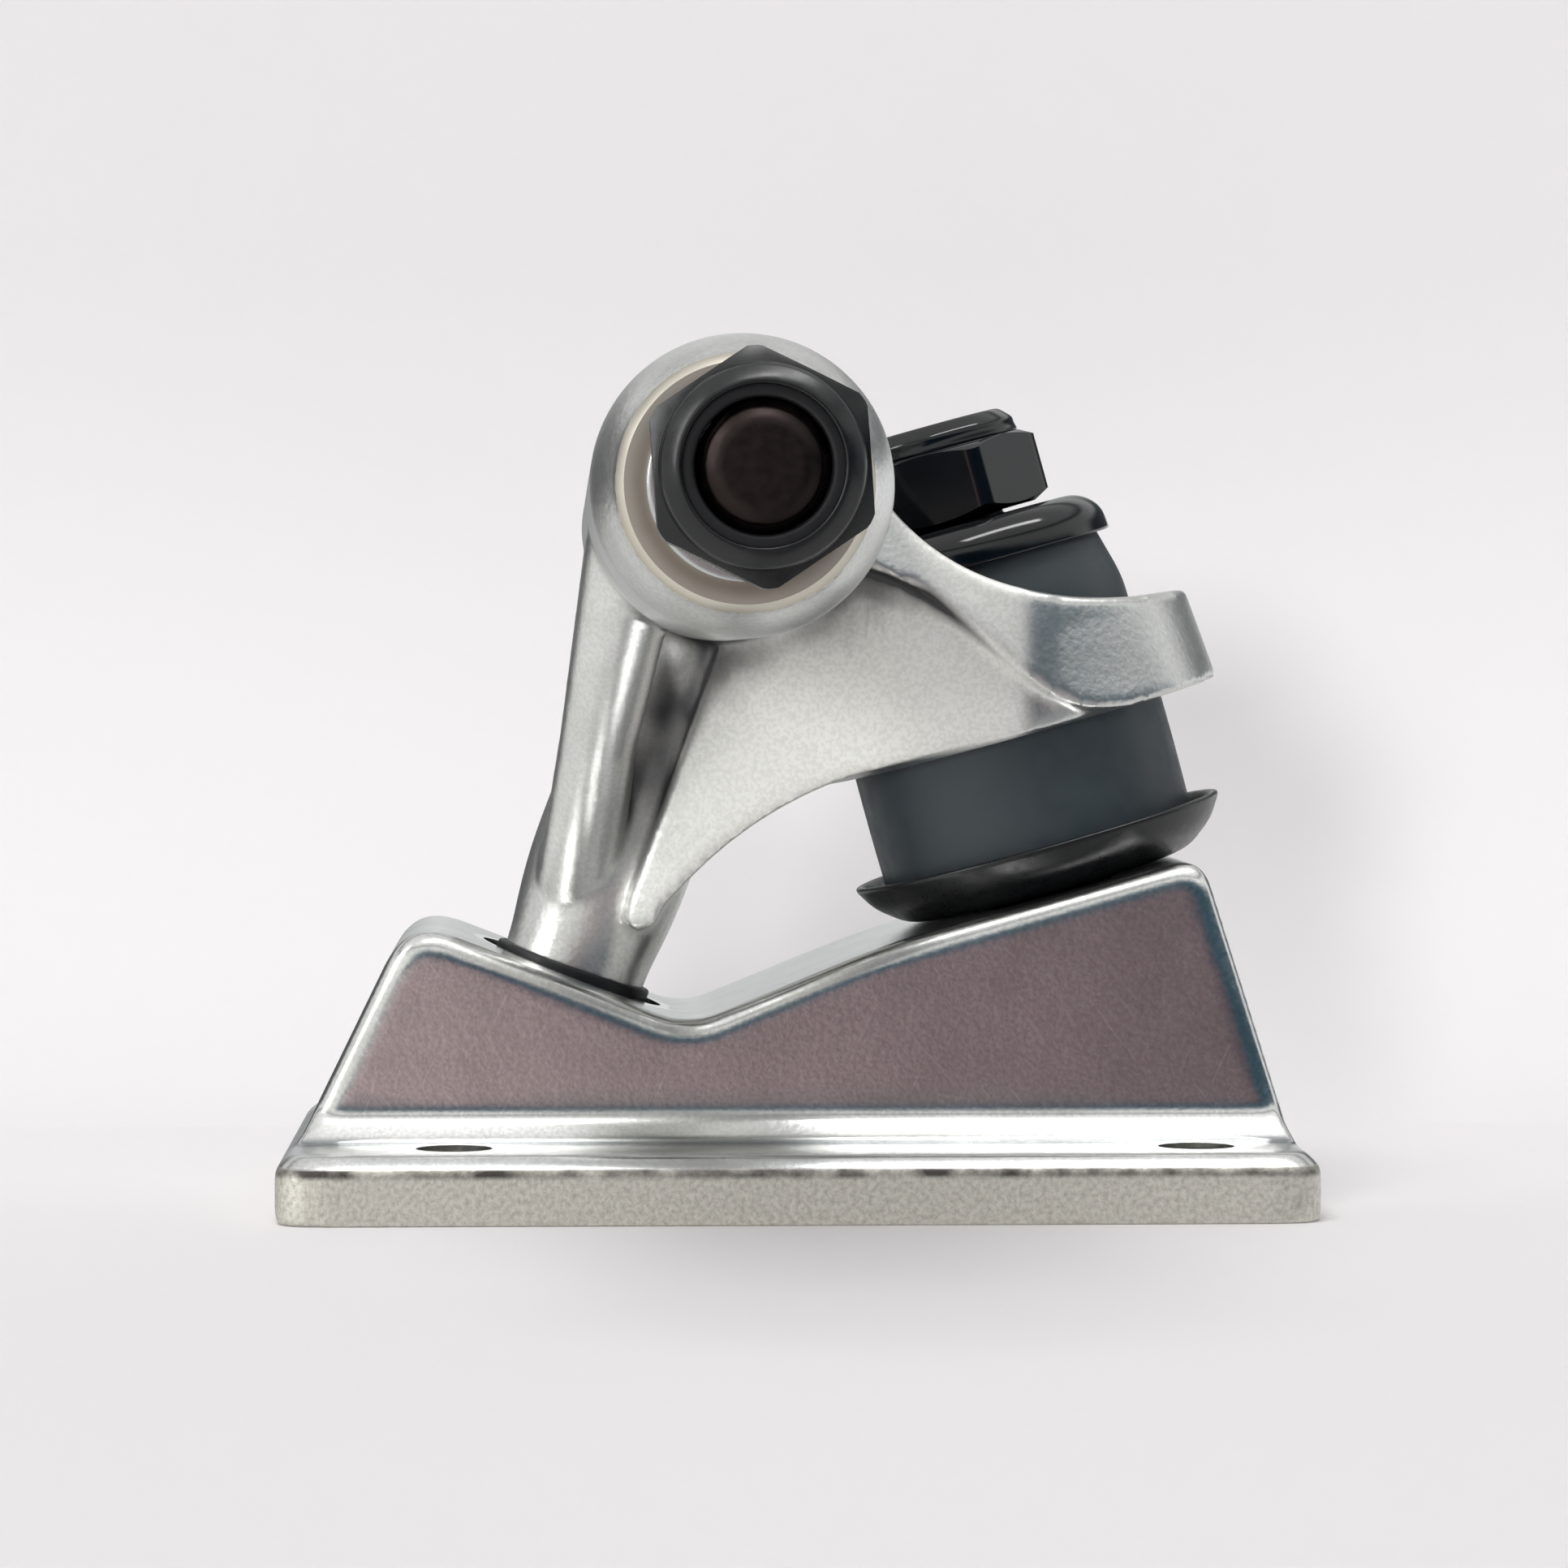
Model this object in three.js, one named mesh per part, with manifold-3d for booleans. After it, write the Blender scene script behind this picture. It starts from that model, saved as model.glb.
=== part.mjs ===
// A skateboard truck standing on its deck face, wheels off.
// Millimetres. X runs from the pivot towards the kingpin, Y along the axle, Z up from the deck face.
// The origin is the middle of the deck face.

import * as THREE from 'three';
import { ConvexGeometry } from 'three/addons/geometries/ConvexGeometry.js';
import { mergeVertices } from 'three/addons/utils/BufferGeometryUtils.js';
import Module from 'manifold-3d';

const wasm = await Module();
wasm.setup();

const { degToRad } = THREE.MathUtils;

// Fits. A seat is the gap between two pieces that rest on each other, a fit the gap round a shaft.
const seatGap = 0.3;
const fitGap = 0.3;
const cutOverrun = 4;

// How finely round shapes are divided.
const roundSteps = 40;
const wideRoundSteps = 56;
const holeSteps = 24;
const hexSides = 6;
const cornerSteps = 4;
const ballRings = 10;
const curveSteps = 8;

// The plate reaches past the wedge's foot at its ends, and past the deck bolts at its sides.
const plate = {
  thickness: 5,
  cornerRadius: 3.5,
  topBevel: 1.2,
  pivotMargin: 1.3,
  kingpinMargin: 0.8,
  sideMargin: 7.36,
};
const deckBolt = { holeDiameter: 5.6, pivotInset: 12.81, kingpinInset: 8.61, wedgeClearance: 0.84 };

// The pivot leans towards the kingpin, and the kingpin towards the pivot.
const pivot = {
  mouthX: -16.2,
  mouthZ: 17,
  lean: degToRad(19.6),
  ballDepth: 8,
  ballRadius: 5,
  waistRadius: 4.6,
  neckRadius: 5.5,
  columnRadius: 6.2,
};
const kingpin = {
  seatX: 20.1,
  seatZ: 23.1,
  lean: degToRad(15.5),
  radius: 4.76,
  headAcrossFlats: 14.3,
  headHeight: 6,
  bossThickness: 14.2,
  tipBelowNutTop: 0.8,
  tipChamfer: 0.9,
};
const wedge = {
  halfWidth: 14.5,
  footFlare: 0.9,
  pivotPeak: 13,
  kingpinPeak: 10.6,
  kingpinShelf: 13.3,
  pivotFootX: -36.4,
  kingpinFootX: 36.9,
  valleyX: -7.8,
  valleyZ: 13.4,
  pivotPeakRound: 3.6,
  kingpinPeakRound: 2.4,
  valleyRound: 2.4,
  shelfRound: 4,
  edgeRound: 1.2,
  footFillet: 1.6,
};
const hexPocket = { play: 0.8 };
const relief = { fromX: -8.7, toX: 11.3, halfWidth: 10, roof: 4.2 };

const cup = { wall: 1.3, floor: 1.2, cornerBevel: 2.4, lip: 0.9, lipRadius: 6.6 };

// The stack on the kingpin, as heights above the baseplate's kingpin seat.
const lowerWasher = { flatInset: 1.1, rimFlare: 1.35, thickness: 1.4, rimHeight: 3.8, rimWidth: 0.6 };
const lowerBushing = { radius: 12.1, edge: 0.6 };
const ring = {
  height: 12.1,
  thickness: 7.1,
  radius: 16.5,
  taper: 0.6,
  coreInset: 1.1,
  bore: 6.5,
  pocketDepth: 1.7,
  edge: 0.8,
};
const upperBushing = { radius: 11.6, height: 8.9, shoulder: 3, topRadius: 10.1, edge: 0.6 };
const upperWasher = {
  radius: 11.7,
  flatRadius: 9.4,
  thickness: 1.4,
  rimDrop: 3.3,
  rimWidth: 0.95,
};
const kingpinNut = {
  turn: degToRad(-11),
  acrossFlats: 14.3,
  hexHeight: 5.6,
  collarHeight: 1.9,
  collarRadius: 6.8,
  insertWidth: 0.85,
  insertHeight: 1,
  lip: 0.4,
};

const axle = { x: -5.4, height: 51.7, radius: 3.97, length: 209.6, tipChamfer: 0.85 };
const barrel = {
  radius: 9.9,
  width: 144,
  endRadius: 8.2,
  faceRadius: 7.8,
  shoulder: 6,
  endChamfer: 0.4,
};
const speedWasher = { radius: 6.35, thickness: 0.9 };
const axleNut = {
  turn: degToRad(34),
  acrossFlats: 12.7,
  hexHeight: 4.9,
  collarHeight: 1.9,
  collarRadius: 6,
  insertWidth: 1,
  insertHeight: 1,
  lip: 0.4,
  tipReach: 0.3,
};

// The hanger's casting between the barrel, the pivot and the ring.
const strut = {
  neckUp: 13,
  neckBack: 1.5,
  neckSide: 1.9,
  neckRadius: 3.2,
  barrelBack: 6.2,
  barrelDown: 2.5,
  barrelSide: 20,
  barrelRadius: 3.6,
};
const web = {
  backX: -13,
  backHalfWidth: 4.6,
  shoulderX: 8,
  shoulderHalfWidth: 15.1,
  panelRise: 0.9,
  mouthUp: 1.7,
  archAcross: 6.1,
  archAlong: 22,
  archEnd: 10.3,
};
const arm = {
  barrelHalfWidth: 20.5,
  rootRight: 10.7,
  rootUp: 2.8,
  bendRight: 14.2,
  bendDown: 4.2,
  sagRight: 22.2,
  sagDown: 8.5,
  noseAcross: 15.6,
  underRight: 8.7,
  underDown: 4.2,
  underBendRight: 16.7,
  underBendDown: 4.7,
  underSagRight: 20.7,
  underSagDown: 13.1,
  tipAcross: 4.5,
};
const toolRoom = { washerPlay: 1, washerSway: 2.3, washerRise: 2.6, nutPlay: 2.2, nutSway: 4.5 };

const steel = { color: '#15181d', roughness: 0.25, metalness: 0.7 };
const castAluminium = { color: '#c9c8c4', roughness: 0.35, metalness: 1 };
const blackNylon = { color: '#17181b', roughness: 0.5, metalness: 0 };
const urethane = { color: '#434b52', roughness: 0.45, metalness: 0 };
const darkSteel = { color: '#4a4644', roughness: 0.35, metalness: 1 };

// Frames of the two leaning axes and of the axle, each with its own Z along the axis.
const pivotDirection = new THREE.Vector3(Math.sin(pivot.lean), 0, Math.cos(pivot.lean));
const mouthCentre = new THREE.Vector3(pivot.mouthX, 0, pivot.mouthZ);
const ballCentre = mouthCentre.clone().addScaledVector(pivotDirection, -pivot.ballDepth);
const kingpinSeat = new THREE.Vector3(kingpin.seatX, 0, kingpin.seatZ);
const axleCentre = new THREE.Vector3(axle.x, 0, axle.height);

function leaningFrame(origin, lean) {
  const frame = new THREE.Group();
  frame.position.copy(origin);
  frame.rotation.y = lean;
  frame.updateMatrix();
  return frame;
}

const pivotFrame = leaningFrame(ballCentre, pivot.lean);
const kingpinFrame = leaningFrame(kingpinSeat, -kingpin.lean);

function axleFrame(side) {
  const frame = new THREE.Group();
  frame.position.copy(axleCentre);
  frame.rotation.x = -side * Math.PI / 2;
  frame.updateMatrix();
  return frame;
}

// A point of the side view, from its offset square to an axis and its distance along it.
function sidePoint(frame, across, along) {
  const point = new THREE.Vector3(across, 0, along).applyMatrix4(frame.matrix);
  return new THREE.Vector2(point.x, point.z);
}

const atPivot = (across, along) => sidePoint(pivotFrame, across, along);
const atKingpin = (across, along) => sidePoint(kingpinFrame, across, along);
const atAxle = (right, up) => new THREE.Vector2(axleCentre.x + right, axleCentre.z + up);

// Solids

function solidOf(geometry) {
  const bare = geometry.clone();
  bare.deleteAttribute('normal');
  bare.deleteAttribute('uv');
  const merged = mergeVertices(bare);
  const vertProperties = new Float32Array(merged.attributes.position.array);
  const triVerts = new Uint32Array(merged.index.array);
  return new wasm.Manifold(new wasm.Mesh({ numProp: 3, vertProperties, triVerts }));
}

function geometryOf(solid) {
  const mesh = solid.getMesh();
  const geometry = new THREE.BufferGeometry();
  geometry.setAttribute('position', new THREE.BufferAttribute(new Float32Array(mesh.vertProperties), 3));
  geometry.setIndex(new THREE.BufferAttribute(new Uint32Array(mesh.triVerts), 1));
  geometry.computeVertexNormals();
  return geometry;
}

function joined(geometries) {
  return geometries.map(solidOf).reduce((whole, next) => whole.add(next));
}

function common(first, second) {
  return geometryOf(solidOf(first).intersect(solidOf(second)));
}

function cutFrom(solid, geometries) {
  return geometries.map(solidOf).reduce((whole, next) => whole.subtract(next), solid);
}

// A solid of revolution about Z. The outline lists [radius, height], going up on the outside.
function turned(outline, steps = roundSteps) {
  const points = outline.map(([radius, height]) => new THREE.Vector2(radius, height));
  const closed = [...points, points[0].clone()];
  const onAxis = points[0].x === 0 && points.at(-1).x === 0;
  return new THREE.LatheGeometry(onAxis ? points : closed, steps).rotateX(Math.PI / 2);
}

// A plain round bar about Z.
function bar(radius, from, to, steps = roundSteps) {
  return turned([[0, from], [radius, from], [radius, to], [0, to]], steps);
}

// A tube about Z with chamfered outer edges.
function sleeve(bore, radius, from, to, edge) {
  return turned([
    [bore, from],
    [radius - edge, from],
    [radius, from + edge],
    [radius, to - edge],
    [radius - edge, to],
    [bore, to],
  ]);
}

const hexCorner = (acrossFlats) => acrossFlats / 2 / Math.cos(Math.PI / hexSides);

// A hexagonal bar about Z with a corner towards X, unless it is turned.
function hexBar(acrossFlats, from, to, turn = 0) {
  const corner = hexCorner(acrossFlats);
  const hex = turned([[0, from], [corner, from], [corner, to], [0, to]], hexSides);
  return hex.rotateZ(Math.PI / hexSides + turn);
}

// A shape drawn in X and Y, raised along Z between two heights.
function raised(shape, from, to) {
  const settings = { depth: to - from, bevelEnabled: false, curveSegments: curveSteps };
  return new THREE.ExtrudeGeometry(shape, settings).translate(0, 0, from);
}

// A shape drawn in the side view, X and Z, made as wide along Y as given, with rounded rims.
function sideSlab(shape, halfWidth, rim = 0) {
  const settings = {
    depth: 2 * (halfWidth - rim),
    bevelEnabled: rim > 0,
    bevelThickness: rim,
    bevelSize: rim,
    bevelOffset: -rim,
    bevelSegments: 2,
    curveSegments: curveSteps,
  };
  const slab = new THREE.ExtrudeGeometry(shape, settings);
  return slab.translate(0, 0, rim - halfWidth).rotateX(Math.PI / 2);
}

// A closed outline whose corners, each [point, radius], are eased by a curve.
function easedShape(corners) {
  const shape = new THREE.Shape();
  corners.forEach(([corner, radius], index) => {
    const [before] = corners.at(index - 1);
    const [after] = corners[(index + 1) % corners.length];
    const start = before.clone().sub(corner).setLength(radius).add(corner);
    const end = after.clone().sub(corner).setLength(radius).add(corner);
    if (index === 0) {
      shape.moveTo(start.x, start.y);
    } else {
      shape.lineTo(start.x, start.y);
    }
    if (radius > 0) {
      shape.quadraticCurveTo(corner.x, corner.y, end.x, end.y);
    }
  });
  shape.closePath();
  return shape;
}

// A block with straight sides whose half width along Y changes from one X to another.
function flaredBlock(fromX, fromHalf, toX, toHalf, height) {
  const corners = [];
  for (const [x, half] of [[fromX, fromHalf], [toX, toHalf]]) {
    for (const y of [-half, half]) {
      corners.push(new THREE.Vector3(x, y, 0), new THREE.Vector3(x, y, height));
    }
  }
  return new ConvexGeometry(corners);
}

function finish(geometryOrSolid, name, look) {
  const isGeometry = geometryOrSolid instanceof THREE.BufferGeometry;
  const geometry = isGeometry ? geometryOrSolid : geometryOf(geometryOrSolid);
  const mesh = new THREE.Mesh(geometry, new THREE.MeshStandardMaterial(look));
  mesh.name = name;
  return mesh;
}

// Baseplate

const wedgeFootHalf = wedge.halfWidth + wedge.footFlare + wedge.footFillet;
const deckBoltY = wedgeFootHalf + deckBolt.wedgeClearance + deckBolt.holeDiameter / 2;
const plateSide = deckBoltY + plate.sideMargin;
const plateFrom = wedge.pivotFootX - plate.pivotMargin;
const plateTo = wedge.kingpinFootX + plate.kingpinMargin;

function plateOutline() {
  const corners = [
    [plateFrom, -plateSide],
    [plateTo, -plateSide],
    [plateTo, plateSide],
    [plateFrom, plateSide],
  ];
  return easedShape(corners.map(([x, y]) => [new THREE.Vector2(x, y), plate.cornerRadius]));
}

// The plate's foot is plain, and its upper half has a bevelled rim.
function plateSlab() {
  const bevel = plate.topBevel;
  const waist = plate.thickness / 2;
  const settings = {
    depth: plate.thickness - 2 * bevel,
    bevelEnabled: true,
    bevelThickness: bevel,
    bevelSize: bevel,
    bevelOffset: -bevel,
    bevelSegments: 2,
    curveSegments: cornerSteps,
  };
  const plainSettings = { depth: waist, bevelEnabled: false, curveSegments: cornerSteps };
  const upper = new THREE.ExtrudeGeometry(plateOutline(), settings).translate(0, 0, bevel);
  const foot = new THREE.ExtrudeGeometry(plateOutline(), plainSettings);
  return geometryOf(joined([foot, upper]));
}

function wedgeOutline() {
  const plateTop = plate.thickness;
  const planeAtMouth = (across) => atPivot(across, pivot.ballDepth);
  return easedShape([
    [new THREE.Vector2(wedge.pivotFootX, plateTop / 2), 0],
    [new THREE.Vector2(wedge.kingpinFootX, plateTop / 2), 0],
    [new THREE.Vector2(wedge.kingpinFootX, plateTop), 0],
    [atKingpin(wedge.kingpinPeak, 0), wedge.kingpinPeakRound],
    [atKingpin(-wedge.kingpinShelf, 0), wedge.shelfRound],
    [new THREE.Vector2(wedge.valleyX, wedge.valleyZ), wedge.valleyRound],
    [planeAtMouth(-wedge.pivotPeak), wedge.pivotPeakRound],
    [new THREE.Vector2(wedge.pivotFootX, plateTop), 0],
  ]);
}

// The wedge is wider at its foot, as a casting's draft makes it.
function wedgeBlock() {
  const block = sideSlab(wedgeOutline(), wedge.halfWidth, wedge.edgeRound);
  const { position } = block.attributes;
  for (let index = 0; index < position.count; index += 1) {
    const depthShare = 1 - position.getZ(index) / kingpin.seatZ;
    const flare = 1 + depthShare * wedge.footFlare / wedge.halfWidth;
    position.setY(index, position.getY(index) * flare);
  }
  return block;
}

function wedgeFoot() {
  const narrow = wedgeFootHalf - 2 * wedge.footFillet;
  const corners = [];
  for (const side of [-1, 1]) {
    for (const x of [wedge.pivotFootX, wedge.kingpinFootX]) {
      const inward = x - Math.sign(x) * wedge.footFillet;
      corners.push(
        new THREE.Vector3(x, side * wedgeFootHalf, plate.thickness / 2),
        new THREE.Vector3(x, side * wedgeFootHalf, plate.thickness),
        new THREE.Vector3(inward, side * narrow, plate.thickness + 2 * wedge.footFillet),
      );
    }
  }
  return new ConvexGeometry(corners);
}

function deckBoltHoles() {
  const holes = [];
  for (const x of [plateFrom + deckBolt.pivotInset, plateTo - deckBolt.kingpinInset]) {
    for (const y of [-deckBoltY, deckBoltY]) {
      const hole = bar(deckBolt.holeDiameter / 2, -cutOverrun, plate.thickness + cutOverrun, holeSteps);
      holes.push(hole.translate(x, y, 0));
    }
  }
  return holes;
}

const cupBore = pivot.neckRadius + fitGap;
const cupRadius = cupBore + cup.wall;
const cupBottom = -(pivot.ballRadius + seatGap + cup.floor);

function pivotSocket() {
  const radius = cupRadius + seatGap;
  const bottom = cupBottom - seatGap;
  return turned([
    [0, bottom],
    [radius - cup.cornerBevel, bottom],
    [radius, bottom + cup.cornerBevel],
    [radius, pivot.ballDepth + cutOverrun],
    [0, pivot.ballDepth + cutOverrun],
  ]).applyMatrix4(pivotFrame.matrix);
}

function kingpinHole() {
  const hole = bar(kingpin.radius + fitGap, -kingpin.bossThickness - cutOverrun, cutOverrun);
  return hole.applyMatrix4(kingpinFrame.matrix);
}

function kingpinHeadPocket() {
  const length = kingpin.seatZ / Math.cos(kingpin.lean) + cutOverrun;
  const pocket = hexBar(kingpin.headAcrossFlats + hexPocket.play, -length, -kingpin.bossThickness);
  return pocket.applyMatrix4(kingpinFrame.matrix);
}

function undersideRelief() {
  const roofAt = (x) => {
    const share = (x - wedge.valleyX) / (kingpin.seatX - wedge.valleyX);
    return THREE.MathUtils.lerp(wedge.valleyZ, kingpin.seatZ, share) - relief.roof;
  };
  const corners = [];
  for (const x of [relief.fromX, relief.toX]) {
    for (const y of [-relief.halfWidth, relief.halfWidth]) {
      corners.push(new THREE.Vector3(x, y, -cutOverrun), new THREE.Vector3(x, y, roofAt(x)));
    }
  }
  return new ConvexGeometry(corners);
}

function makeBaseplate() {
  const casting = joined([plateSlab(), wedgeBlock(), wedgeFoot()]);
  const kingpinSpace = [kingpinHole(), kingpinHeadPocket()];
  const cuts = [...deckBoltHoles(), pivotSocket(), ...kingpinSpace, undersideRelief()];
  return finish(cutFrom(casting, cuts), 'baseplate', castAluminium);
}

// Pivot cup, about the pivot's own axis from the ball's centre

function makePivotCup() {
  const mouth = pivot.ballDepth;
  const ballRoom = pivot.ballRadius + seatGap;
  const outline = [[0, cupBottom]];
  outline.push([cupRadius - cup.cornerBevel, cupBottom], [cupRadius, cupBottom + cup.cornerBevel]);
  outline.push([cupRadius, mouth], [cup.lipRadius, mouth + cup.lip], [cupBore, mouth + cup.lip]);
  outline.push([cupBore, 0]);
  for (let step = 1; step <= cornerSteps; step += 1) {
    const turn = (step / cornerSteps) * Math.PI / 2;
    outline.push([cupBore * Math.cos(turn), -ballRoom * Math.sin(turn)]);
  }
  outline[outline.length - 1][0] = 0;
  return finish(turned(outline), 'pivot_cup', blackNylon);
}

// Kingpin stack, about the kingpin's own axis from the baseplate's seat

const shaftBore = kingpin.radius + fitGap;
const ringTop = ring.height + ring.thickness;
const deckToTop = axle.height + barrel.radius;
const upperBushingFoot = ringTop - ring.pocketDepth + seatGap;
const upperWasherTop = upperBushingFoot + upperBushing.height + seatGap + upperWasher.thickness;
const nutSeat = upperWasherTop + seatGap;
const nutTop = nutSeat + kingpinNut.hexHeight + kingpinNut.collarHeight;

function makeKingpin() {
  const headTop = -kingpin.bossThickness - seatGap;
  const tip = nutTop - kingpin.tipBelowNutTop;
  const shaft = turned([
    [0, headTop - kingpin.headHeight / 2],
    [kingpin.radius, headTop - kingpin.headHeight / 2],
    [kingpin.radius, tip - kingpin.tipChamfer],
    [kingpin.radius - kingpin.tipChamfer, tip],
    [0, tip],
  ]);
  const head = hexBar(kingpin.headAcrossFlats, headTop - kingpin.headHeight, headTop);
  return finish(joined([shaft, head]), 'kingpin', darkSteel);
}

function makeLowerCupWasher() {
  const floor = seatGap + lowerWasher.thickness;
  const wellRadius = lowerBushing.radius + seatGap;
  const lipRadius = wellRadius + lowerWasher.rimFlare;
  return finish(turned([
    [shaftBore, seatGap],
    [lowerBushing.radius - lowerWasher.flatInset, seatGap],
    [wellRadius + lowerWasher.rimWidth, floor],
    [lipRadius + lowerWasher.rimWidth, lowerWasher.rimHeight],
    [lipRadius, lowerWasher.rimHeight],
    [wellRadius, floor + lowerWasher.rimWidth],
    [wellRadius, floor],
    [shaftBore, floor],
  ]), 'lower_cup_washer', steel);
}

function makeLowerBushing() {
  const from = seatGap + lowerWasher.thickness + seatGap;
  const to = ring.height + ring.pocketDepth - seatGap;
  const body = sleeve(shaftBore, lowerBushing.radius, from, to, lowerBushing.edge);
  return finish(body, 'lower_bushing', urethane);
}

function makeUpperBushing() {
  const from = upperBushingFoot;
  const to = from + upperBushing.height;
  return finish(turned([
    [shaftBore, from],
    [upperBushing.radius - upperBushing.edge, from],
    [upperBushing.radius, from + upperBushing.edge],
    [upperBushing.radius, from + upperBushing.shoulder],
    [upperBushing.topRadius, to - upperBushing.edge],
    [upperBushing.topRadius - upperBushing.edge, to],
    [shaftBore, to],
  ]), 'upper_bushing', urethane);
}

function makeUpperCupWasher() {
  const top = upperWasherTop;
  const ceiling = top - upperWasher.thickness;
  const rim = top - upperWasher.rimDrop;
  const wellRadius = upperWasher.radius - upperWasher.rimWidth;
  return finish(turned([
    [shaftBore, ceiling],
    [wellRadius, ceiling],
    [wellRadius, rim],
    [upperWasher.radius, rim],
    [upperWasher.radius, ceiling],
    [upperWasher.flatRadius, top],
    [shaftBore, top],
  ]), 'upper_cup_washer', steel);
}

// A lock nut: a hexagon, a round collar over it and a plastic ring held in the collar

function lockNut(size, bore, from) {
  const hexTop = from + size.hexHeight;
  const top = hexTop + size.collarHeight;
  const grooveRadius = bore + size.insertWidth + seatGap;
  const grooveTop = top - size.lip;
  const grooveBottom = grooveTop - size.insertHeight - 2 * seatGap;
  const hex = hexBar(size.acrossFlats, from, hexTop, size.turn);
  const body = joined([hex, bar(size.collarRadius, hexTop - size.lip, top)]);
  const mouthRadius = (bore + grooveRadius) / 2;
  const cuts = [
    bar(bore, from - cutOverrun, top + cutOverrun),
    bar(grooveRadius, grooveBottom, grooveTop),
    bar(mouthRadius, grooveTop - size.lip, top + cutOverrun),
  ];
  const insert = turned([
    [bore, grooveBottom + seatGap],
    [bore + size.insertWidth, grooveBottom + seatGap],
    [bore + size.insertWidth, grooveTop - seatGap],
    [bore, grooveTop - seatGap],
  ]);
  return { nut: cutFrom(body, cuts), insert };
}

function makeKingpinNut() {
  const { nut, insert } = lockNut(kingpinNut, shaftBore, nutSeat);
  return [finish(nut, 'kingpin_nut', steel), finish(insert, 'kingpin_nut_insert', blackNylon)];
}

// Axle and what sits on it, about the axle from the truck's middle

const axleBore = axle.radius + fitGap;

function makeAxle() {
  const tip = axle.length / 2;
  return finish(turned([
    [0, -tip],
    [axle.radius - axle.tipChamfer, -tip],
    [axle.radius, -tip + axle.tipChamfer],
    [axle.radius, tip - axle.tipChamfer],
    [axle.radius - axle.tipChamfer, tip],
    [0, tip],
  ]), 'axle', darkSteel);
}

function makeAxleEnd(sideName) {
  const hangerFace = barrel.width / 2;
  const nutHeight = axleNut.hexHeight + axleNut.collarHeight;
  const nutFace = axle.length / 2 - axleNut.tipReach - nutHeight;
  const outerFace = nutFace - seatGap - speedWasher.thickness;
  const innerFace = hangerFace + seatGap;
  const washer = (from) => turned([
    [axleBore, from],
    [speedWasher.radius, from],
    [speedWasher.radius, from + speedWasher.thickness],
    [axleBore, from + speedWasher.thickness],
  ]);
  const { nut, insert } = lockNut(axleNut, axleBore, nutFace);
  return [
    finish(washer(innerFace), `${sideName}_inner_speed_washer`, darkSteel),
    finish(washer(outerFace), `${sideName}_outer_speed_washer`, darkSteel),
    finish(nut, `${sideName}_axle_nut`, steel),
    finish(insert, `${sideName}_axle_nut_insert`, blackNylon),
  ];
}

// Hanger

function hangerBarrel() {
  const half = barrel.width / 2;
  const end = [
    [barrel.radius, half - barrel.shoulder],
    [(barrel.radius + barrel.endRadius) / 2, half - barrel.shoulder / 2],
    [barrel.endRadius, half - barrel.endChamfer],
    [barrel.faceRadius, half],
  ];
  const otherEnd = end.map(([radius, along]) => [radius, -along]).reverse();
  const outline = [[0, -half], ...otherEnd, ...end, [0, half]];
  return turned(outline).applyMatrix4(axleFrame(1).matrix);
}

function pivotPin() {
  const { ballRadius, waistRadius, neckRadius, columnRadius } = pivot;
  const mouth = pivot.ballDepth;
  const outline = [];
  for (let step = 0; step <= ballRings; step += 1) {
    const turn = -Math.PI / 2 + (step / ballRings) * (Math.PI / 2 + Math.acos(waistRadius / ballRadius));
    outline.push([ballRadius * Math.cos(turn), ballRadius * Math.sin(turn)]);
  }
  outline[0][0] = 0;
  const top = (axleCentre.z - ballCentre.z) / pivotDirection.z;
  outline.push([neckRadius, mouth], [neckRadius, mouth + cup.lip + seatGap]);
  outline.push([columnRadius, mouth + strut.neckUp / 2], [columnRadius, top], [0, top]);
  return turned(outline).applyMatrix4(pivotFrame.matrix);
}

// One strut from the neck to the barrel: the block through a small ball and a larger one.
function hangerStrut(side) {
  const low = atPivot(-strut.neckBack, strut.neckUp);
  const high = atAxle(-strut.barrelBack, -strut.barrelDown);
  const balls = [
    [new THREE.Vector3(low.x, side * strut.neckSide, low.y), strut.neckRadius],
    [new THREE.Vector3(high.x, side * strut.barrelSide, high.y), strut.barrelRadius],
  ];
  const points = [];
  for (const [centre, radius] of balls) {
    const { position } = new THREE.SphereGeometry(radius, holeSteps, ballRings).attributes;
    for (let index = 0; index < position.count; index += 1) {
      points.push(new THREE.Vector3().fromBufferAttribute(position, index).add(centre));
    }
  }
  return new ConvexGeometry(points);
}

// The ring's core, which the web's panel runs into. The arms' proud band goes round it.
function ringCore() {
  const radius = ring.radius - ring.coreInset;
  return sleeve(0, radius, ring.height, ringTop, ring.edge).applyMatrix4(kingpinFrame.matrix);
}

// The web fills the angle between the pivot and the ring under the barrel. In plan it widens to the ring.
function hangerWeb() {
  const neckRight = atPivot(pivot.neckRadius, pivot.ballDepth + web.mouthUp);
  const neckLeft = atPivot(0, pivot.ballDepth + web.mouthUp + pivot.neckRadius);
  const archPull = atPivot(web.archAcross, web.archAlong);
  const archEnd = atKingpin(-web.archEnd, ring.height + web.panelRise);
  const tip = atKingpin(arm.tipAcross, ring.height + web.panelRise);
  const ringUp = atKingpin(0, ringTop - web.panelRise);
  const barrelRight = atAxle(arm.underRight, 0);
  const shape = new THREE.Shape();
  shape.moveTo(neckLeft.x, neckLeft.y);
  shape.lineTo(neckRight.x, neckRight.y);
  shape.quadraticCurveTo(archPull.x, archPull.y, archEnd.x, archEnd.y);
  shape.lineTo(tip.x, tip.y);
  shape.lineTo(ringUp.x, ringUp.y);
  shape.lineTo(barrelRight.x, barrelRight.y);
  shape.lineTo(axleCentre.x, axleCentre.z);
  shape.closePath();
  return common(sideSlab(shape, ring.radius), webPlan());
}

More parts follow.
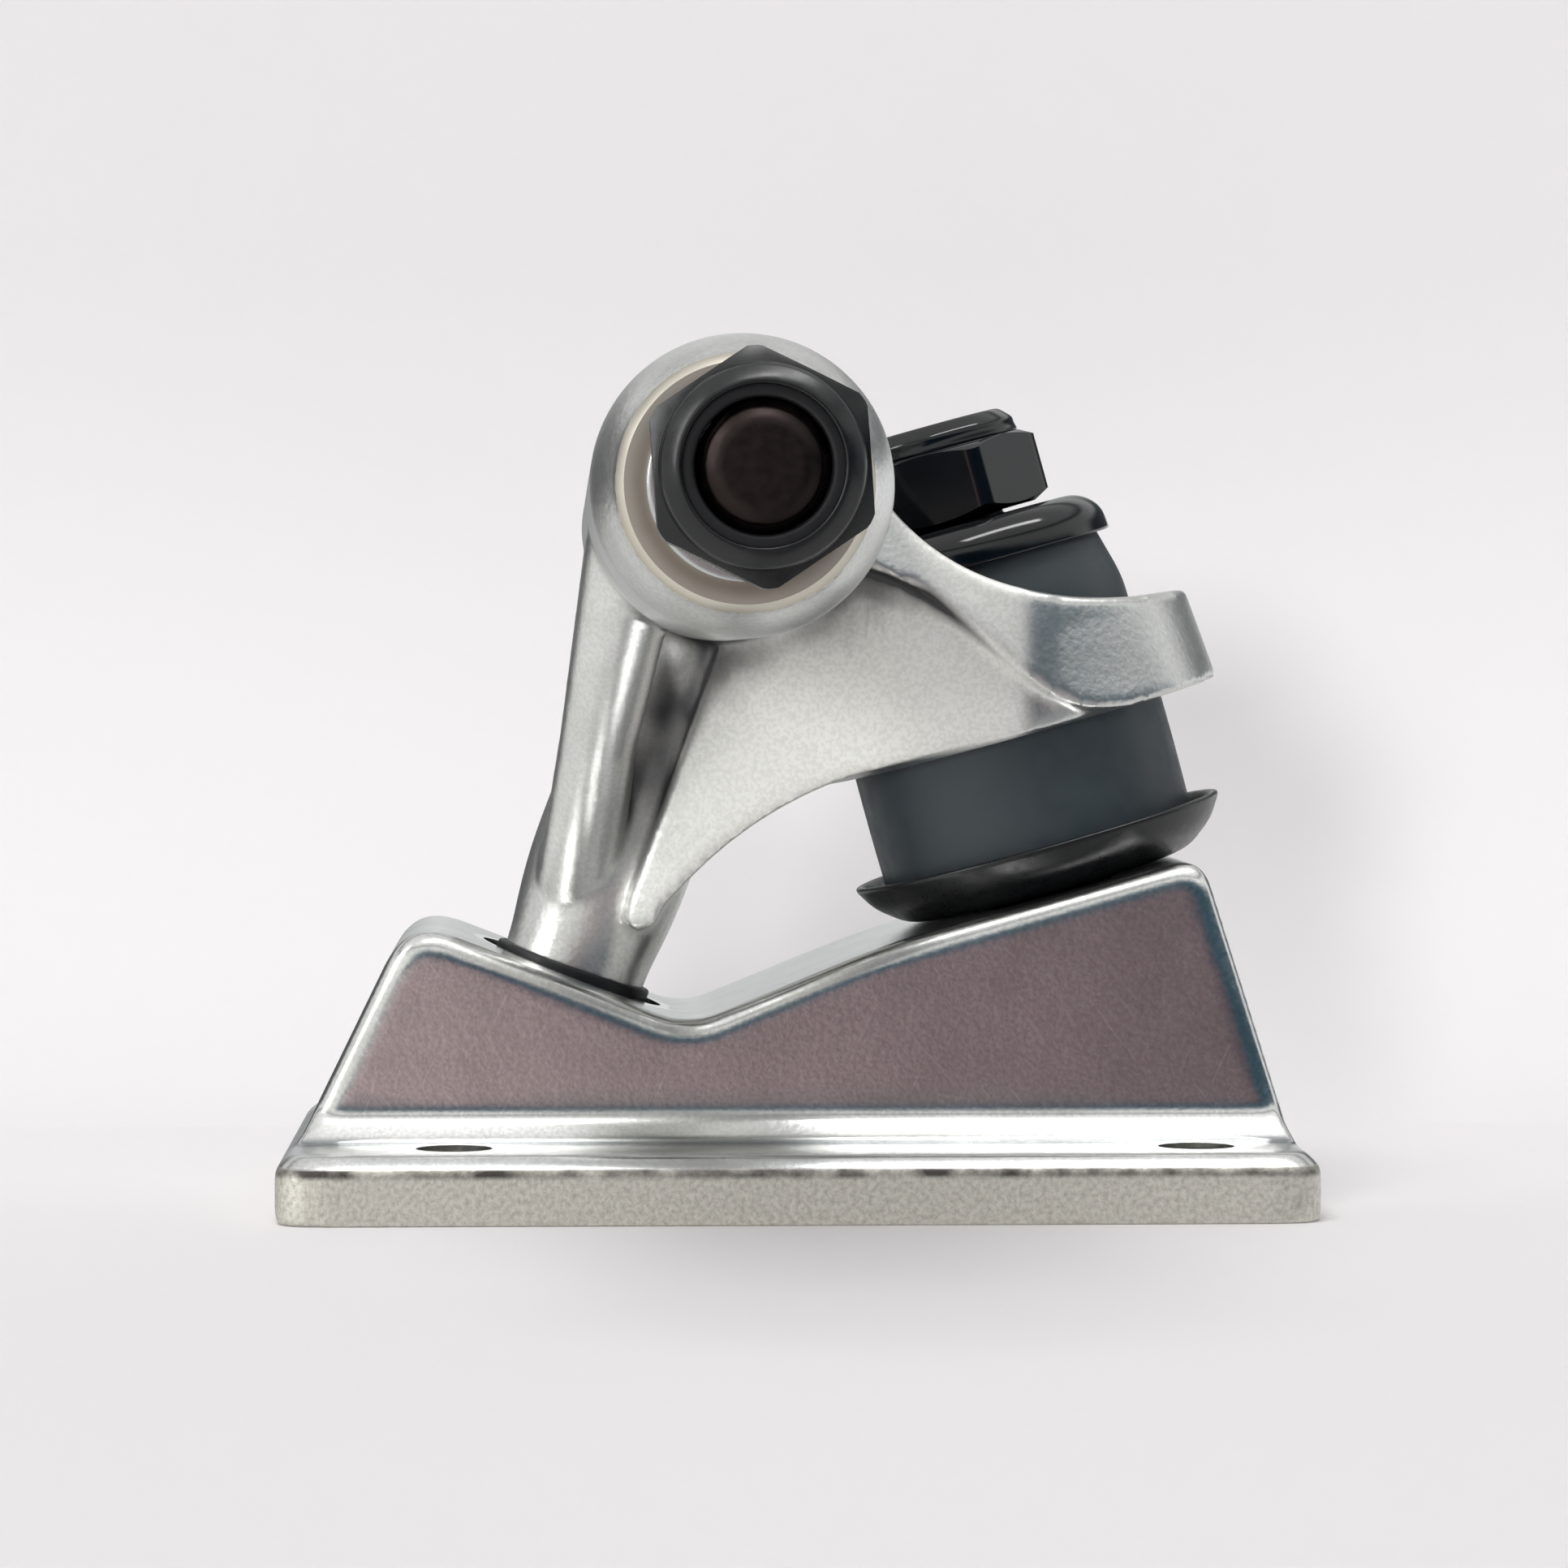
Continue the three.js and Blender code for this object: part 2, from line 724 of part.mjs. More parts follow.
function webPlan() {
  const coreRadius = ring.radius - ring.coreInset;
  const ringMiddle = atKingpin(0, ring.height + ring.thickness / 2);
  const corners = [];
  for (const height of [0, deckToTop]) {
    for (const side of [-1, 1]) {
      corners.push(new THREE.Vector3(web.backX, side * web.backHalfWidth, height));
      corners.push(new THREE.Vector3(web.shoulderX, side * web.shoulderHalfWidth, height));
    }
    for (let step = 0; step < roundSteps; step += 1) {
      const turn = (step / roundSteps) * 2 * Math.PI;
      const x = ringMiddle.x + coreRadius * Math.cos(turn);
      corners.push(new THREE.Vector3(x, coreRadius * Math.sin(turn), height));
    }
  }
  return new ConvexGeometry(corners);
}

// The side view of the arms and of the ring's proud band: two long curves from the barrel to the ring.
function bandOutline() {
  const root = atAxle(arm.rootRight, arm.rootUp);
  const bend = atAxle(arm.bendRight, -arm.bendDown);
  const sag = atAxle(arm.sagRight, -arm.sagDown);
  const nose = atKingpin(arm.noseAcross, ringTop);
  const noseEnd = atKingpin(ring.radius, ringTop);
  const noseFoot = atKingpin(ring.radius, ring.height);
  const tip = atKingpin(arm.tipAcross, ring.height);
  const underSag = atAxle(arm.underSagRight, -arm.underSagDown);
  const underBend = atAxle(arm.underBendRight, -arm.underBendDown);
  const underRoot = atAxle(arm.underRight, -arm.underDown);
  const shape = new THREE.Shape();
  shape.moveTo(axleCentre.x, axleCentre.z);
  shape.lineTo(underRoot.x, underRoot.y);
  shape.bezierCurveTo(underBend.x, underBend.y, underSag.x, underSag.y, tip.x, tip.y);
  shape.lineTo(noseFoot.x, noseFoot.y);
  shape.lineTo(noseEnd.x, noseEnd.y);
  shape.lineTo(nose.x, nose.y);
  shape.bezierCurveTo(sag.x, sag.y, bend.x, bend.y, root.x, root.y);
  shape.closePath();
  return shape;
}

// The two arms flare from the ring's sides to the barrel. The tool room parts them later.
function hangerArms() {
  const slab = sideSlab(bandOutline(), arm.barrelHalfWidth + cutOverrun);
  const ringMiddle = atKingpin(0, ring.height + ring.thickness / 2);
  const flare = flaredBlock(axleCentre.x, arm.barrelHalfWidth, ringMiddle.x, ring.radius, deckToTop);
  const tallRing = turned([
    [0, ring.height],
    [ring.radius, ring.height],
    [ring.radius - ring.taper, ringTop],
    [ring.radius - ring.taper, deckToTop],
    [0, deckToTop],
  ], wideRoundSteps).applyMatrix4(kingpinFrame.matrix);
  return common(slab, geometryOf(joined([flare, tallRing])));
}

// Room for the upper washer and the nut, long enough along Y for the hanger's sway.
function swayRoom(radius, sway, from, to) {
  const shape = new THREE.Shape();
  shape.moveTo(radius, -sway);
  shape.lineTo(radius, sway);
  shape.absarc(0, sway, radius, 0, Math.PI, false);
  shape.lineTo(-radius, -sway);
  shape.absarc(0, -sway, radius, Math.PI, 2 * Math.PI, false);
  return raised(shape, from, to).applyMatrix4(kingpinFrame.matrix);
}

function ringCuts() {
  const washerRoom = upperWasher.radius + toolRoom.washerPlay;
  const nutRoom = hexCorner(kingpinNut.acrossFlats) + toolRoom.nutPlay;
  const farTop = upperWasherTop + 2 * barrel.radius;
  const pocket = (radius, from, to) => bar(radius, from, to).applyMatrix4(kingpinFrame.matrix);
  return [
    pocket(ring.bore, ring.height - cutOverrun, ringTop + cutOverrun),
    pocket(lowerBushing.radius + seatGap, ring.height - cutOverrun, ring.height + ring.pocketDepth),
    pocket(upperBushing.radius + seatGap, ringTop - ring.pocketDepth, ringTop + cutOverrun),
    swayRoom(washerRoom, toolRoom.washerSway, ringTop, upperWasherTop + toolRoom.washerRise),
    swayRoom(nutRoom, toolRoom.nutSway, ringTop, farTop),
  ];
}

function makeHanger() {
  const struts = [hangerStrut(-1), hangerStrut(1)];
  const casting = joined([hangerBarrel(), pivotPin(), ...struts, hangerWeb(), ringCore(), hangerArms()]);
  const axleHole = bar(axleBore, -barrel.width, barrel.width).applyMatrix4(axleFrame(1).matrix);
  return finish(cutFrom(casting, [...ringCuts(), axleHole]), 'hanger', castAluminium);
}

// The truck

const truck = new THREE.Group();
truck.add(makeBaseplate(), makeHanger());

pivotFrame.add(makePivotCup());
kingpinFrame.add(
  makeKingpin(),
  makeLowerCupWasher(),
  makeLowerBushing(),
  makeUpperBushing(),
  makeUpperCupWasher(),
  ...makeKingpinNut(),
);
truck.add(pivotFrame, kingpinFrame);

for (const [side, sideName] of [[-1, 'left'], [1, 'right']]) {
  const end = axleFrame(side);
  end.add(...makeAxleEnd(sideName));
  if (side > 0) {
    end.add(makeAxle());
  }
  truck.add(end);
}

export default truck;
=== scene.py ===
"""Dresses a skateboard truck for its photograph: fine castings, nuts, washers and bushings, their
finishes, and the studio round them. Sizes are in millimetres until a piece is finished."""

import math
from collections import namedtuple

import bmesh
import bpy
from mathutils import Matrix, Vector
from mathutils.bvhtree import BVHTree


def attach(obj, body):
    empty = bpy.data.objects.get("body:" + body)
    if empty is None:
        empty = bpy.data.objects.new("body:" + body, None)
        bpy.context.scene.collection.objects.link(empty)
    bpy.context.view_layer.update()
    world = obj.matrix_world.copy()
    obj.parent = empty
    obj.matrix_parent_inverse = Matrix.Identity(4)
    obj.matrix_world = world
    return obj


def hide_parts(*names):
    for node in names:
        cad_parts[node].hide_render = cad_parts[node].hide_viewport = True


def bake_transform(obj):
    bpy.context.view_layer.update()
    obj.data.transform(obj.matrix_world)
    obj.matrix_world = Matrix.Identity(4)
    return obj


MM = 0.001

# GAP lies between two pieces, and a cutter passes what it cuts by OVERRUN.
GAP = 0.3
OVERRUN = 4

# Frames

PIVOT_LEAN = math.radians(19.6)
KINGPIN_LEAN = math.radians(15.5)
BALL_DEPTH = 8
PIVOT_MOUTH = Vector((-16.2, 0, 17))
KINGPIN_SEAT = Vector((20.1, 0, 23.1))
AXLE_CENTRE = Vector((-5.4, 0, 51.7))
BALL_CENTRE = PIVOT_MOUTH - BALL_DEPTH * Vector((math.sin(PIVOT_LEAN), 0, math.cos(PIVOT_LEAN)))

PIVOT = Matrix.Translation(BALL_CENTRE) @ Matrix.Rotation(PIVOT_LEAN, 4, "Y")
KINGPIN = Matrix.Translation(KINGPIN_SEAT) @ Matrix.Rotation(-KINGPIN_LEAN, 4, "Y")
SIDES = (("left", -1), ("right", 1))


def axle_frame(side):
    return Matrix.Translation(AXLE_CENTRE) @ Matrix.Rotation(-side * math.pi / 2, 4, "X")


def at_pivot(across, along):
    point = PIVOT @ Vector((across, 0, along))
    return point.x, point.z


def at_kingpin(across, along):
    point = KINGPIN @ Vector((across, 0, along))
    return point.x, point.z


def at_axle(right, up):
    return AXLE_CENTRE.x + right, AXLE_CENTRE.z + up


# Outlines and solids

CURVE_STEPS = 5
SPIN_STEPS = 96


def curve(start, pulls, end, steps=16):
    """Points of a smooth curve from start to end, without its start."""
    controls = [Vector(point) for point in (start, *pulls, end)]
    points = []
    for step in range(1, steps + 1):
        share = step / steps
        level = controls
        while len(level) > 1:
            level = [a.lerp(b, share) for a, b in zip(level, level[1:])]
        points.append(tuple(level[0]))
    return points


def eased(corners, closed=True):
    """An outline whose corners, each (x, y) or (x, y, reach), are rounded by their reach."""
    outline = []
    for index, (x, y, *reach) in enumerate(corners):
        corner = Vector((x, y))
        at_end = not closed and index in (0, len(corners) - 1)
        if not reach or at_end:
            outline.append((x, y))
            continue
        before = Vector(corners[index - 1][:2]) - corner
        after = Vector(corners[(index + 1) % len(corners)][:2]) - corner
        start = corner + before.normalized() * min(reach[0], before.length / 2)
        end = corner + after.normalized() * min(reach[0], after.length / 2)
        outline.append(tuple(start))
        outline += curve(start, [corner], end, CURVE_STEPS)
    return outline


def verts_of(geometry):
    return [item for item in geometry if isinstance(item, bmesh.types.BMVert)]


def closed_up(mesh, frame=None):
    bmesh.ops.remove_doubles(mesh, verts=mesh.verts[:], dist=1e-4)
    bmesh.ops.recalc_face_normals(mesh, faces=mesh.faces[:])
    if frame is not None:
        mesh.transform(frame)
    return mesh


def spun(outline, frame=None, steps=SPIN_STEPS):
    """A solid turned about the frame's Z. An outline that starts off the axis makes a ring."""
    mesh = bmesh.new()
    verts = [mesh.verts.new((radius, 0, height)) for radius, height in outline]
    pairs = list(zip(verts, verts[1:]))
    if outline[0][0] > 0:
        pairs.append((verts[-1], verts[0]))
    edges = [mesh.edges.new(pair) for pair in pairs]
    bmesh.ops.spin(mesh, geom=verts + edges, cent=(0, 0, 0), axis=(0, 0, 1), angle=math.tau,
                   steps=steps, use_merge=True)
    return closed_up(mesh, frame)


def bar(radius, start, end, frame):
    return spun([(0, start), (radius, start), (radius, end), (0, end)], frame)


def drawn_out(points, reach, frame=None):
    """The solid that a flat outline sweeps as it moves by reach."""
    mesh = bmesh.new()
    face = mesh.faces.new([mesh.verts.new(point) for point in points])
    made = bmesh.ops.extrude_face_region(mesh, geom=[face])["geom"]
    bmesh.ops.translate(mesh, verts=verts_of(made), vec=reach)
    return closed_up(mesh, frame)


def slab(outline, half_width):
    """An outline of the side view, X and Z, made as wide along Y as given."""
    return drawn_out([(x, -half_width, z) for x, z in outline], (0, 2 * half_width, 0))


def plate_block(outline, start, end, frame):
    """An outline drawn in X and Y, raised from one height to another."""
    return drawn_out([(x, y, start) for x, y in outline], (0, 0, end - start), frame)


def hull(points):
    mesh = bmesh.new()
    for point in points:
        mesh.verts.new(point)
    made = bmesh.ops.convex_hull(mesh, input=mesh.verts[:])
    bmesh.ops.delete(mesh, geom=verts_of(made["geom_interior"]), context="VERTS")
    return closed_up(mesh)


def ball_points(centre, radius):
    ball = bmesh.new()
    bmesh.ops.create_icosphere(ball, subdivisions=3, radius=radius)
    points = [Vector(centre) + vert.co for vert in ball.verts]
    ball.free()
    return points


def rounded(mesh, reach, least_angle, segments=3):
    """Bevels every edge that turns more than the least angle, in radians."""
    edges = [edge for edge in mesh.edges if edge.calc_face_angle(0) > least_angle]
    bmesh.ops.bevel(mesh, geom=edges, offset=reach, offset_type="OFFSET", segments=segments,
                    profile=0.5, affect="EDGES", clamp_overlap=True, material=-1)
    return mesh


def placed(mesh, name):
    """An object in the scene made of one bmesh or of several joined shells."""
    shells = mesh if isinstance(mesh, list) else [mesh]
    data = bpy.data.meshes.new(name)
    whole = bmesh.new()
    for shell in shells:
        shell.to_mesh(data)
        whole.from_mesh(data)
        shell.free()
    whole.to_mesh(data)
    whole.free()
    made = bpy.data.objects.new(name, data)
    bpy.context.scene.collection.objects.link(made)
    return made


def as_modified(piece):
    bpy.context.view_layer.update()
    return piece.evaluated_get(bpy.context.evaluated_depsgraph_get())


def settled(piece):
    """Puts what the piece's modifiers make into its mesh."""
    data = bpy.data.meshes.new_from_object(as_modified(piece))
    piece.modifiers.clear()
    old = piece.data
    piece.data = data
    bpy.data.meshes.remove(old)
    return piece


def combined(piece, meshes, operation):
    """The piece after a union, difference or intersection with each mesh in turn."""
    tools = [placed(mesh, "tool") for mesh in meshes]
    for tool in tools:
        step = piece.modifiers.new("combine", "BOOLEAN")
        step.operation = operation
        step.solver = "MANIFOLD"
        step.object = tool
    settled(piece)
    for tool in tools:
        bpy.data.objects.remove(tool)
    return piece


def lifted(piece):
    """The piece's mesh as a bmesh, with the piece itself taken away."""
    mesh = bmesh.new()
    mesh.from_mesh(piece.data)
    bpy.data.objects.remove(piece)
    return mesh


def common(mesh, other):
    return lifted(combined(placed(mesh, "common"), [other], "INTERSECT"))


def cast_skin(piece, voxel, softening, keep):
    """One skin over the joined blocks, with the soft inner and outer corners of a casting."""
    skin = piece.modifiers.new("skin", "REMESH")
    skin.mode = "VOXEL"
    skin.voxel_size = voxel
    soft = piece.modifiers.new("soft", "SMOOTH")
    soft.factor = 0.5
    soft.iterations = softening
    thinner = piece.modifiers.new("thinner", "DECIMATE")
    thinner.ratio = keep
    return settled(piece)


def with_relief(piece, reach, full):
    """Marks each point by how far it stands proud of its softened surroundings, from -1 to 1,
    so that a finish can be dull in hollows and worn bright on edges."""
    soft = piece.modifiers.new("soft", "SMOOTH")
    soft.factor = 0.5
    soft.iterations = reach
    seen = as_modified(piece)
    softened = seen.to_mesh()
    marks = []
    for vert, level in zip(piece.data.vertices, softened.vertices):
        proud = (vert.co - level.co).dot(vert.normal) / full
        marks.append(max(-1, min(1, proud)))
    seen.to_mesh_clear()
    piece.modifiers.clear()
    mark_points(piece, "relief", marks)


def mark_points(piece, name, marks):
    layer = piece.data.attributes.new(name, "FLOAT", "POINT")
    layer.data.foreach_set("value", marks)


def nowhere(point):
    return 0.0


# The rays of a point's outlook: their tilt from its normal, in degrees, and their number.
OUTLOOK = ((28, 4), (62, 8))


def with_painted_shade_mask(piece, reach, extra_shade=nowhere):
    """Marks each point with the share of its outlook that the piece itself shuts off within
    reach, or with the extra shade given for its place, whichever is more. The finish darkens
    these hollows and creases by it: painted shade, where shadow falls."""
    whole = bmesh.new()
    whole.from_mesh(piece.data)
    skin = BVHTree.FromBMesh(whole)
    whole.free()
    outlook = []
    for tilt, count in OUTLOOK:
        for step in range(count):
            turn = Matrix.Rotation(step / count * math.tau, 3, "Z")
            outlook.append(turn @ Matrix.Rotation(math.radians(tilt), 3, "X") @ Vector((0, 0, 1)))
    marks = []
    for vert in piece.data.vertices:
        facing = vert.normal.to_track_quat("Z", "Y").to_matrix()
        start = vert.co + vert.normal * 0.1
        shut = [skin.ray_cast(start, facing @ ray, reach)[0] is not None for ray in outlook]
        marks.append(max(sum(shut) / len(outlook), extra_shade(vert.co)))
    mark_points(piece, "occlusion_shade", evened(piece, marks, 5))


def evened(piece, marks, passes):
    """The marks, each drawn towards its neighbours' so that they change gently."""
    for _ in range(passes):
        sums = list(marks)
        counts = [1] * len(marks)
        for edge in piece.data.edges:
            first, second = edge.vertices
            sums[first] += marks[second]
            sums[second] += marks[first]
            counts[first] += 1
            counts[second] += 1
        marks = [total / count for total, count in zip(sums, counts)]
    return marks


def marked(piece, index, test):
    """Gives the faces that pass the test, by their middle, another of the piece's materials."""
    for face in piece.data.polygons:
        if test(face.center):
            face.material_index = index


def finished(piece, body, nodes, materials, sharp=38):
    """Scales the piece to metres, shades it and ties it to its body and the nodes it stands for."""
    piece.data.transform(Matrix.Scale(MM, 4))
    piece.data.shade_smooth()
    piece.data.set_sharp_from_angle(angle=math.radians(sharp))
    indices = [face.material_index for face in piece.data.polygons]
    piece.data.materials.clear()
    for material in materials:
        piece.data.materials.append(material)
    piece.data.polygons.foreach_set("material_index", indices)
    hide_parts(*nodes)
    if body:
        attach(piece, body)
    return piece


# Baseplate

PLATE_HALF_X = 37.7
PLATE_HALF_Y = 28
PLATE_THICKNESS = 5
PLATE_CORNER = 3.5
PLATE_EDGE = 1.1
WEDGE_HALF = 14.5
WEDGE_FLARE = 0.9
WEDGE_FEET = (-36.4, 36.9)
WEDGE_FILLET = 1.6
BOLT_X = (-24.89, 29.09)
BOLT_Y = 20.64
BOLT_RADIUS = 2.8
POCKET_ENDS = ((-8.7, 8.7), (11.3, 15.7))
POCKET_HALF = 10
BALL_RADIUS = 5
CUP_RADIUS = 7.1
CUP_LIP = 6.05
CUP_BORE = 5.55
CUP_BEVEL = 2.4
CUP_FLOOR = 1.2
CUP_BOTTOM = -(BALL_RADIUS + GAP + CUP_FLOOR)
KINGPIN_RADIUS = 4.76
KINGPIN_BOSS = 14.2
KINGPIN_HEAD = 14.3


def plate_corners(inset):
    x, y = PLATE_HALF_X - inset, PLATE_HALF_Y - inset
    reach = PLATE_CORNER
    return eased([(-x, -y, reach), (x, -y, reach), (x, y, reach), (-x, y, reach)])


def wedge_outline():
    foot = PLATE_THICKNESS / 2
    pivot_foot, kingpin_foot = WEDGE_FEET
    return eased([
        (pivot_foot, foot), (kingpin_foot, foot), (kingpin_foot, PLATE_THICKNESS),
        (*at_kingpin(10.6, 0), 2.4), (*at_kingpin(-13.3, 0), 4), (-7.8, 13.4, 2.4),
        (*at_pivot(-13, BALL_DEPTH), 3.6), (pivot_foot, PLATE_THICKNESS),
    ])


def wedge():
    block = rounded(slab(wedge_outline(), WEDGE_HALF), 1.3, least_angle=1.2, segments=4)
    for vert in block.verts:
        depth = 1 - vert.co.z / KINGPIN_SEAT.z
        vert.co.y *= 1 + depth * WEDGE_FLARE / WEDGE_HALF
    return block


def wedge_fillet():
    half = WEDGE_HALF + WEDGE_FLARE
    points = []
    for side in (-1, 1):
        for x in WEDGE_FEET:
            inward = x - math.copysign(WEDGE_FILLET, x)
            top = PLATE_THICKNESS + 2 * WEDGE_FILLET
            points.append((x, side * (half + WEDGE_FILLET), PLATE_THICKNESS / 2))
            points.append((x, side * (half + WEDGE_FILLET), PLATE_THICKNESS))
            points.append((inward, side * (half - WEDGE_FILLET), top))
    return hull(points)


def hex_bar(across_flats, start, end, frame):
    corner = across_flats / math.sqrt(3)
    angles = [step * math.tau / 6 for step in range(6)]
    corners = [(corner * math.cos(angle), corner * math.sin(angle)) for angle in angles]
    return plate_block(corners, start, end, frame)


def baseplate_openings():
    """The bolt holes, the cup's socket, the kingpin's bore and head pocket, and the pocket that
    saves weight underneath."""
    holes = []
    for x in BOLT_X:
        for side in (-1, 1):
            place = Matrix.Translation((x, side * BOLT_Y, 0))
            holes.append(bar(BOLT_RADIUS, -OVERRUN, PLATE_THICKNESS + OVERRUN, place))
    bottom = CUP_BOTTOM - GAP
    socket = CUP_RADIUS + 0.1
    holes.append(spun([
        (0, bottom), (socket - CUP_BEVEL, bottom), (socket, bottom + CUP_BEVEL),
        (socket, BALL_DEPTH + OVERRUN), (0, BALL_DEPTH + OVERRUN),
    ], PIVOT))
    holes.append(bar(KINGPIN_RADIUS + 0.05, -KINGPIN_BOSS - OVERRUN, OVERRUN, KINGPIN))
    length = KINGPIN_SEAT.z / math.cos(KINGPIN_LEAN) + OVERRUN
    holes.append(hex_bar(KINGPIN_HEAD + 0.8, -length, -KINGPIN_BOSS, KINGPIN))
    pocket = []
    for x, roof in POCKET_ENDS:
        for y in (-POCKET_HALF, POCKET_HALF):
            pocket += [(x, y, -OVERRUN), (x, y, roof)]
    holes.append(rounded(hull(pocket), 1.5, least_angle=1))
    return holes


def plate():
    shoulder = PLATE_THICKNESS - PLATE_EDGE
    points = [(x, y, z) for x, y in plate_corners(0) for z in (0, shoulder)]
    points += [(x, y, PLATE_THICKNESS) for x, y in plate_corners(PLATE_EDGE)]
    return hull(points)


def make_baseplate(materials):
    casting = combined(placed(plate(), "baseplate_casting"), [wedge(), wedge_fillet()], "UNION")
    cast_skin(casting, 0.35, 13, 0.5)
    combined(casting, baseplate_openings(), "DIFFERENCE")
    with_relief(casting, 40, 0.5)
    # Painted shade: the plate's hollows are marked so that the finish darkens them as if shadowed.
    with_painted_shade_mask(casting, 8)
    return finished(casting, "base", ["baseplate"], materials)


# Pivot cup, kingpin and its stack


def make_pivot_cup(materials):
    lip = BALL_DEPTH + GAP
    outline = eased([
        (0, CUP_BOTTOM), (CUP_RADIUS - CUP_BEVEL, CUP_BOTTOM, 0.8),
        (CUP_RADIUS, CUP_BOTTOM + CUP_BEVEL, 0.8), (CUP_RADIUS, BALL_DEPTH - 4.6, 0.8),
        (CUP_LIP, BALL_DEPTH - 1.7, 0.6), (CUP_LIP, lip, 0.3), (CUP_BORE, lip, 0.2),
        (CUP_BORE, 0),
    ], closed=False)
    room = BALL_RADIUS + GAP / 2
    for step in range(1, 9):
        turn = step / 8 * math.pi / 2
        outline.append((CUP_BORE * math.cos(turn) if step < 8 else 0, -room * math.sin(turn)))
    cup = placed(spun(outline, PIVOT), "pivot_cup_fine")
    finished(cup, None, ["pivot_cup"], materials)
    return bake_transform(cup)


THREAD_STEPS = 28


def thread(core, crest, pitch, start, end, frame):
    """A screw thread's ridge, wound about the frame's Z, whose ends sink into the core."""
    turns = (end - start) / pitch
    ridge = bmesh.new()
    root = core - 0.1
    corners = [
        (root, start), (crest, start + pitch * 0.42), (crest, start + pitch * 0.56),
        (root, start + pitch * 0.98),
    ]
    face = ridge.faces.new([ridge.verts.new((radius, 0, height)) for radius, height in corners])
    bmesh.ops.spin(ridge, geom=[face], cent=(0, 0, 0), axis=(0, 0, 1),
                   dvec=(0, 0, pitch / THREAD_STEPS), angle=math.tau * turns,
                   steps=int(THREAD_STEPS * turns))
    for vert in ridge.verts:
        radius = math.hypot(vert.co.x, vert.co.y)
        if radius > root + 0.01:
            turn = (vert.co.z - start) / pitch - 0.49
            fade = max(0, min(1, turn / 0.4, (turns - turn) / 0.4))
            faded = (root + (crest - root) * fade) / radius
            vert.co.x, vert.co.y = vert.co.x * faded, vert.co.y * faded
    return closed_up(ridge, frame)


RING_FOOT = 12.1
RING_TOP = 19.2
RING_POCKET = 1.7
WASHER_TOP = 28.4
NUT_SEAT = WASHER_TOP + GAP
KINGPIN_TIP = 35.4
FINE_PITCH = 25.4 / 24


def make_kingpin(materials):
    head_top = -KINGPIN_BOSS - 0.1
    core = KINGPIN_RADIUS - 0.55
    threaded_from = 17
    shaft = spun(eased([
        (0, head_top - 3), (KINGPIN_RADIUS, head_top - 3), (KINGPIN_RADIUS, threaded_from, 0.2),
        (core, threaded_from + 0.6, 0.2), (core, KINGPIN_TIP - 0.7, 0.3),
        (core - 0.7, KINGPIN_TIP, 0.3), (0, KINGPIN_TIP + 0.15),
    ], closed=False), KINGPIN)
    screw = thread(core, KINGPIN_RADIUS, FINE_PITCH, threaded_from, KINGPIN_TIP - 1.6, KINGPIN)
    head = rounded(hex_bar(KINGPIN_HEAD, head_top - 6, head_top, KINGPIN), 0.4, least_angle=0.7)
    kingpin = placed([shaft, screw, head], "kingpin_fine")
    return finished(kingpin, "base", ["kingpin"], materials)


def make_lower_cup_washer(materials):
    washer = spun(eased([
        (KINGPIN_RADIUS + 0.15, 0.1, 0.2), (11, 0.1, 1.2), (13.3, 1.9, 0.8), (14.35, 3.6, 0.35),
        (14.1, 3.85, 0.25), (13.6, 3.7, 0.4), (12.5, 1.75, 0.7),
        (KINGPIN_RADIUS + 0.15, 1.5, 0.2),
    ]), KINGPIN)
    piece = placed(washer, "lower_cup_washer_fine")
    return finished(piece, "base", ["lower_cup_washer"], materials)


def make_lower_bushing(materials):
    foot, top = 1.65, RING_FOOT + RING_POCKET - 0.1
    bushing = spun(eased([
        (KINGPIN_RADIUS + 0.3, foot, 0.4), (12, foot, 0.9), (12.1, (foot + top) / 2, 4),
        (12.05, top, 0.5), (KINGPIN_RADIUS + 0.3, top, 0.4),
    ]), KINGPIN)
    piece = placed(bushing, "lower_bushing_fine")
    finished(piece, None, ["lower_bushing"], materials)
    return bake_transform(piece)


def make_upper_bushing(materials):
    foot, top = RING_TOP - RING_POCKET + 0.1, WASHER_TOP - 1.5
    bushing = spun(eased([
        (KINGPIN_RADIUS + 0.3, foot, 0.4), (11.6, foot, 0.9), (11.7, 21.2, 1.5),
        (10.2, top, 0.7), (KINGPIN_RADIUS + 0.3, top, 0.4),
    ]), KINGPIN)
    piece = placed(bushing, "upper_bushing_fine")
    finished(piece, None, ["upper_bushing"], materials)
    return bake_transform(piece)


def make_upper_cup_washer(materials):
    rim = WASHER_TOP - 3.3
    washer = spun(eased([
        (KINGPIN_RADIUS + 0.15, WASHER_TOP - 1.4, 0.2), (10.2, WASHER_TOP - 1.4, 0.6),
        (10.6, rim + 0.5, 0.6), (11.2, rim, 0.2), (11.7, rim + 0.1, 0.2),
        (11.5, WASHER_TOP - 1.3, 1.1), (9.9, WASHER_TOP, 1.1),
        (KINGPIN_RADIUS + 0.15, WASHER_TOP, 0.3),
    ]), KINGPIN)
    piece = placed(washer, "upper_cup_washer_fine")
    return finished(piece, "upper_washer", ["upper_cup_washer"], materials)


# Lock nuts

HEX_COLUMNS = 144
HEX_CHAMFER = math.tan(math.radians(28))


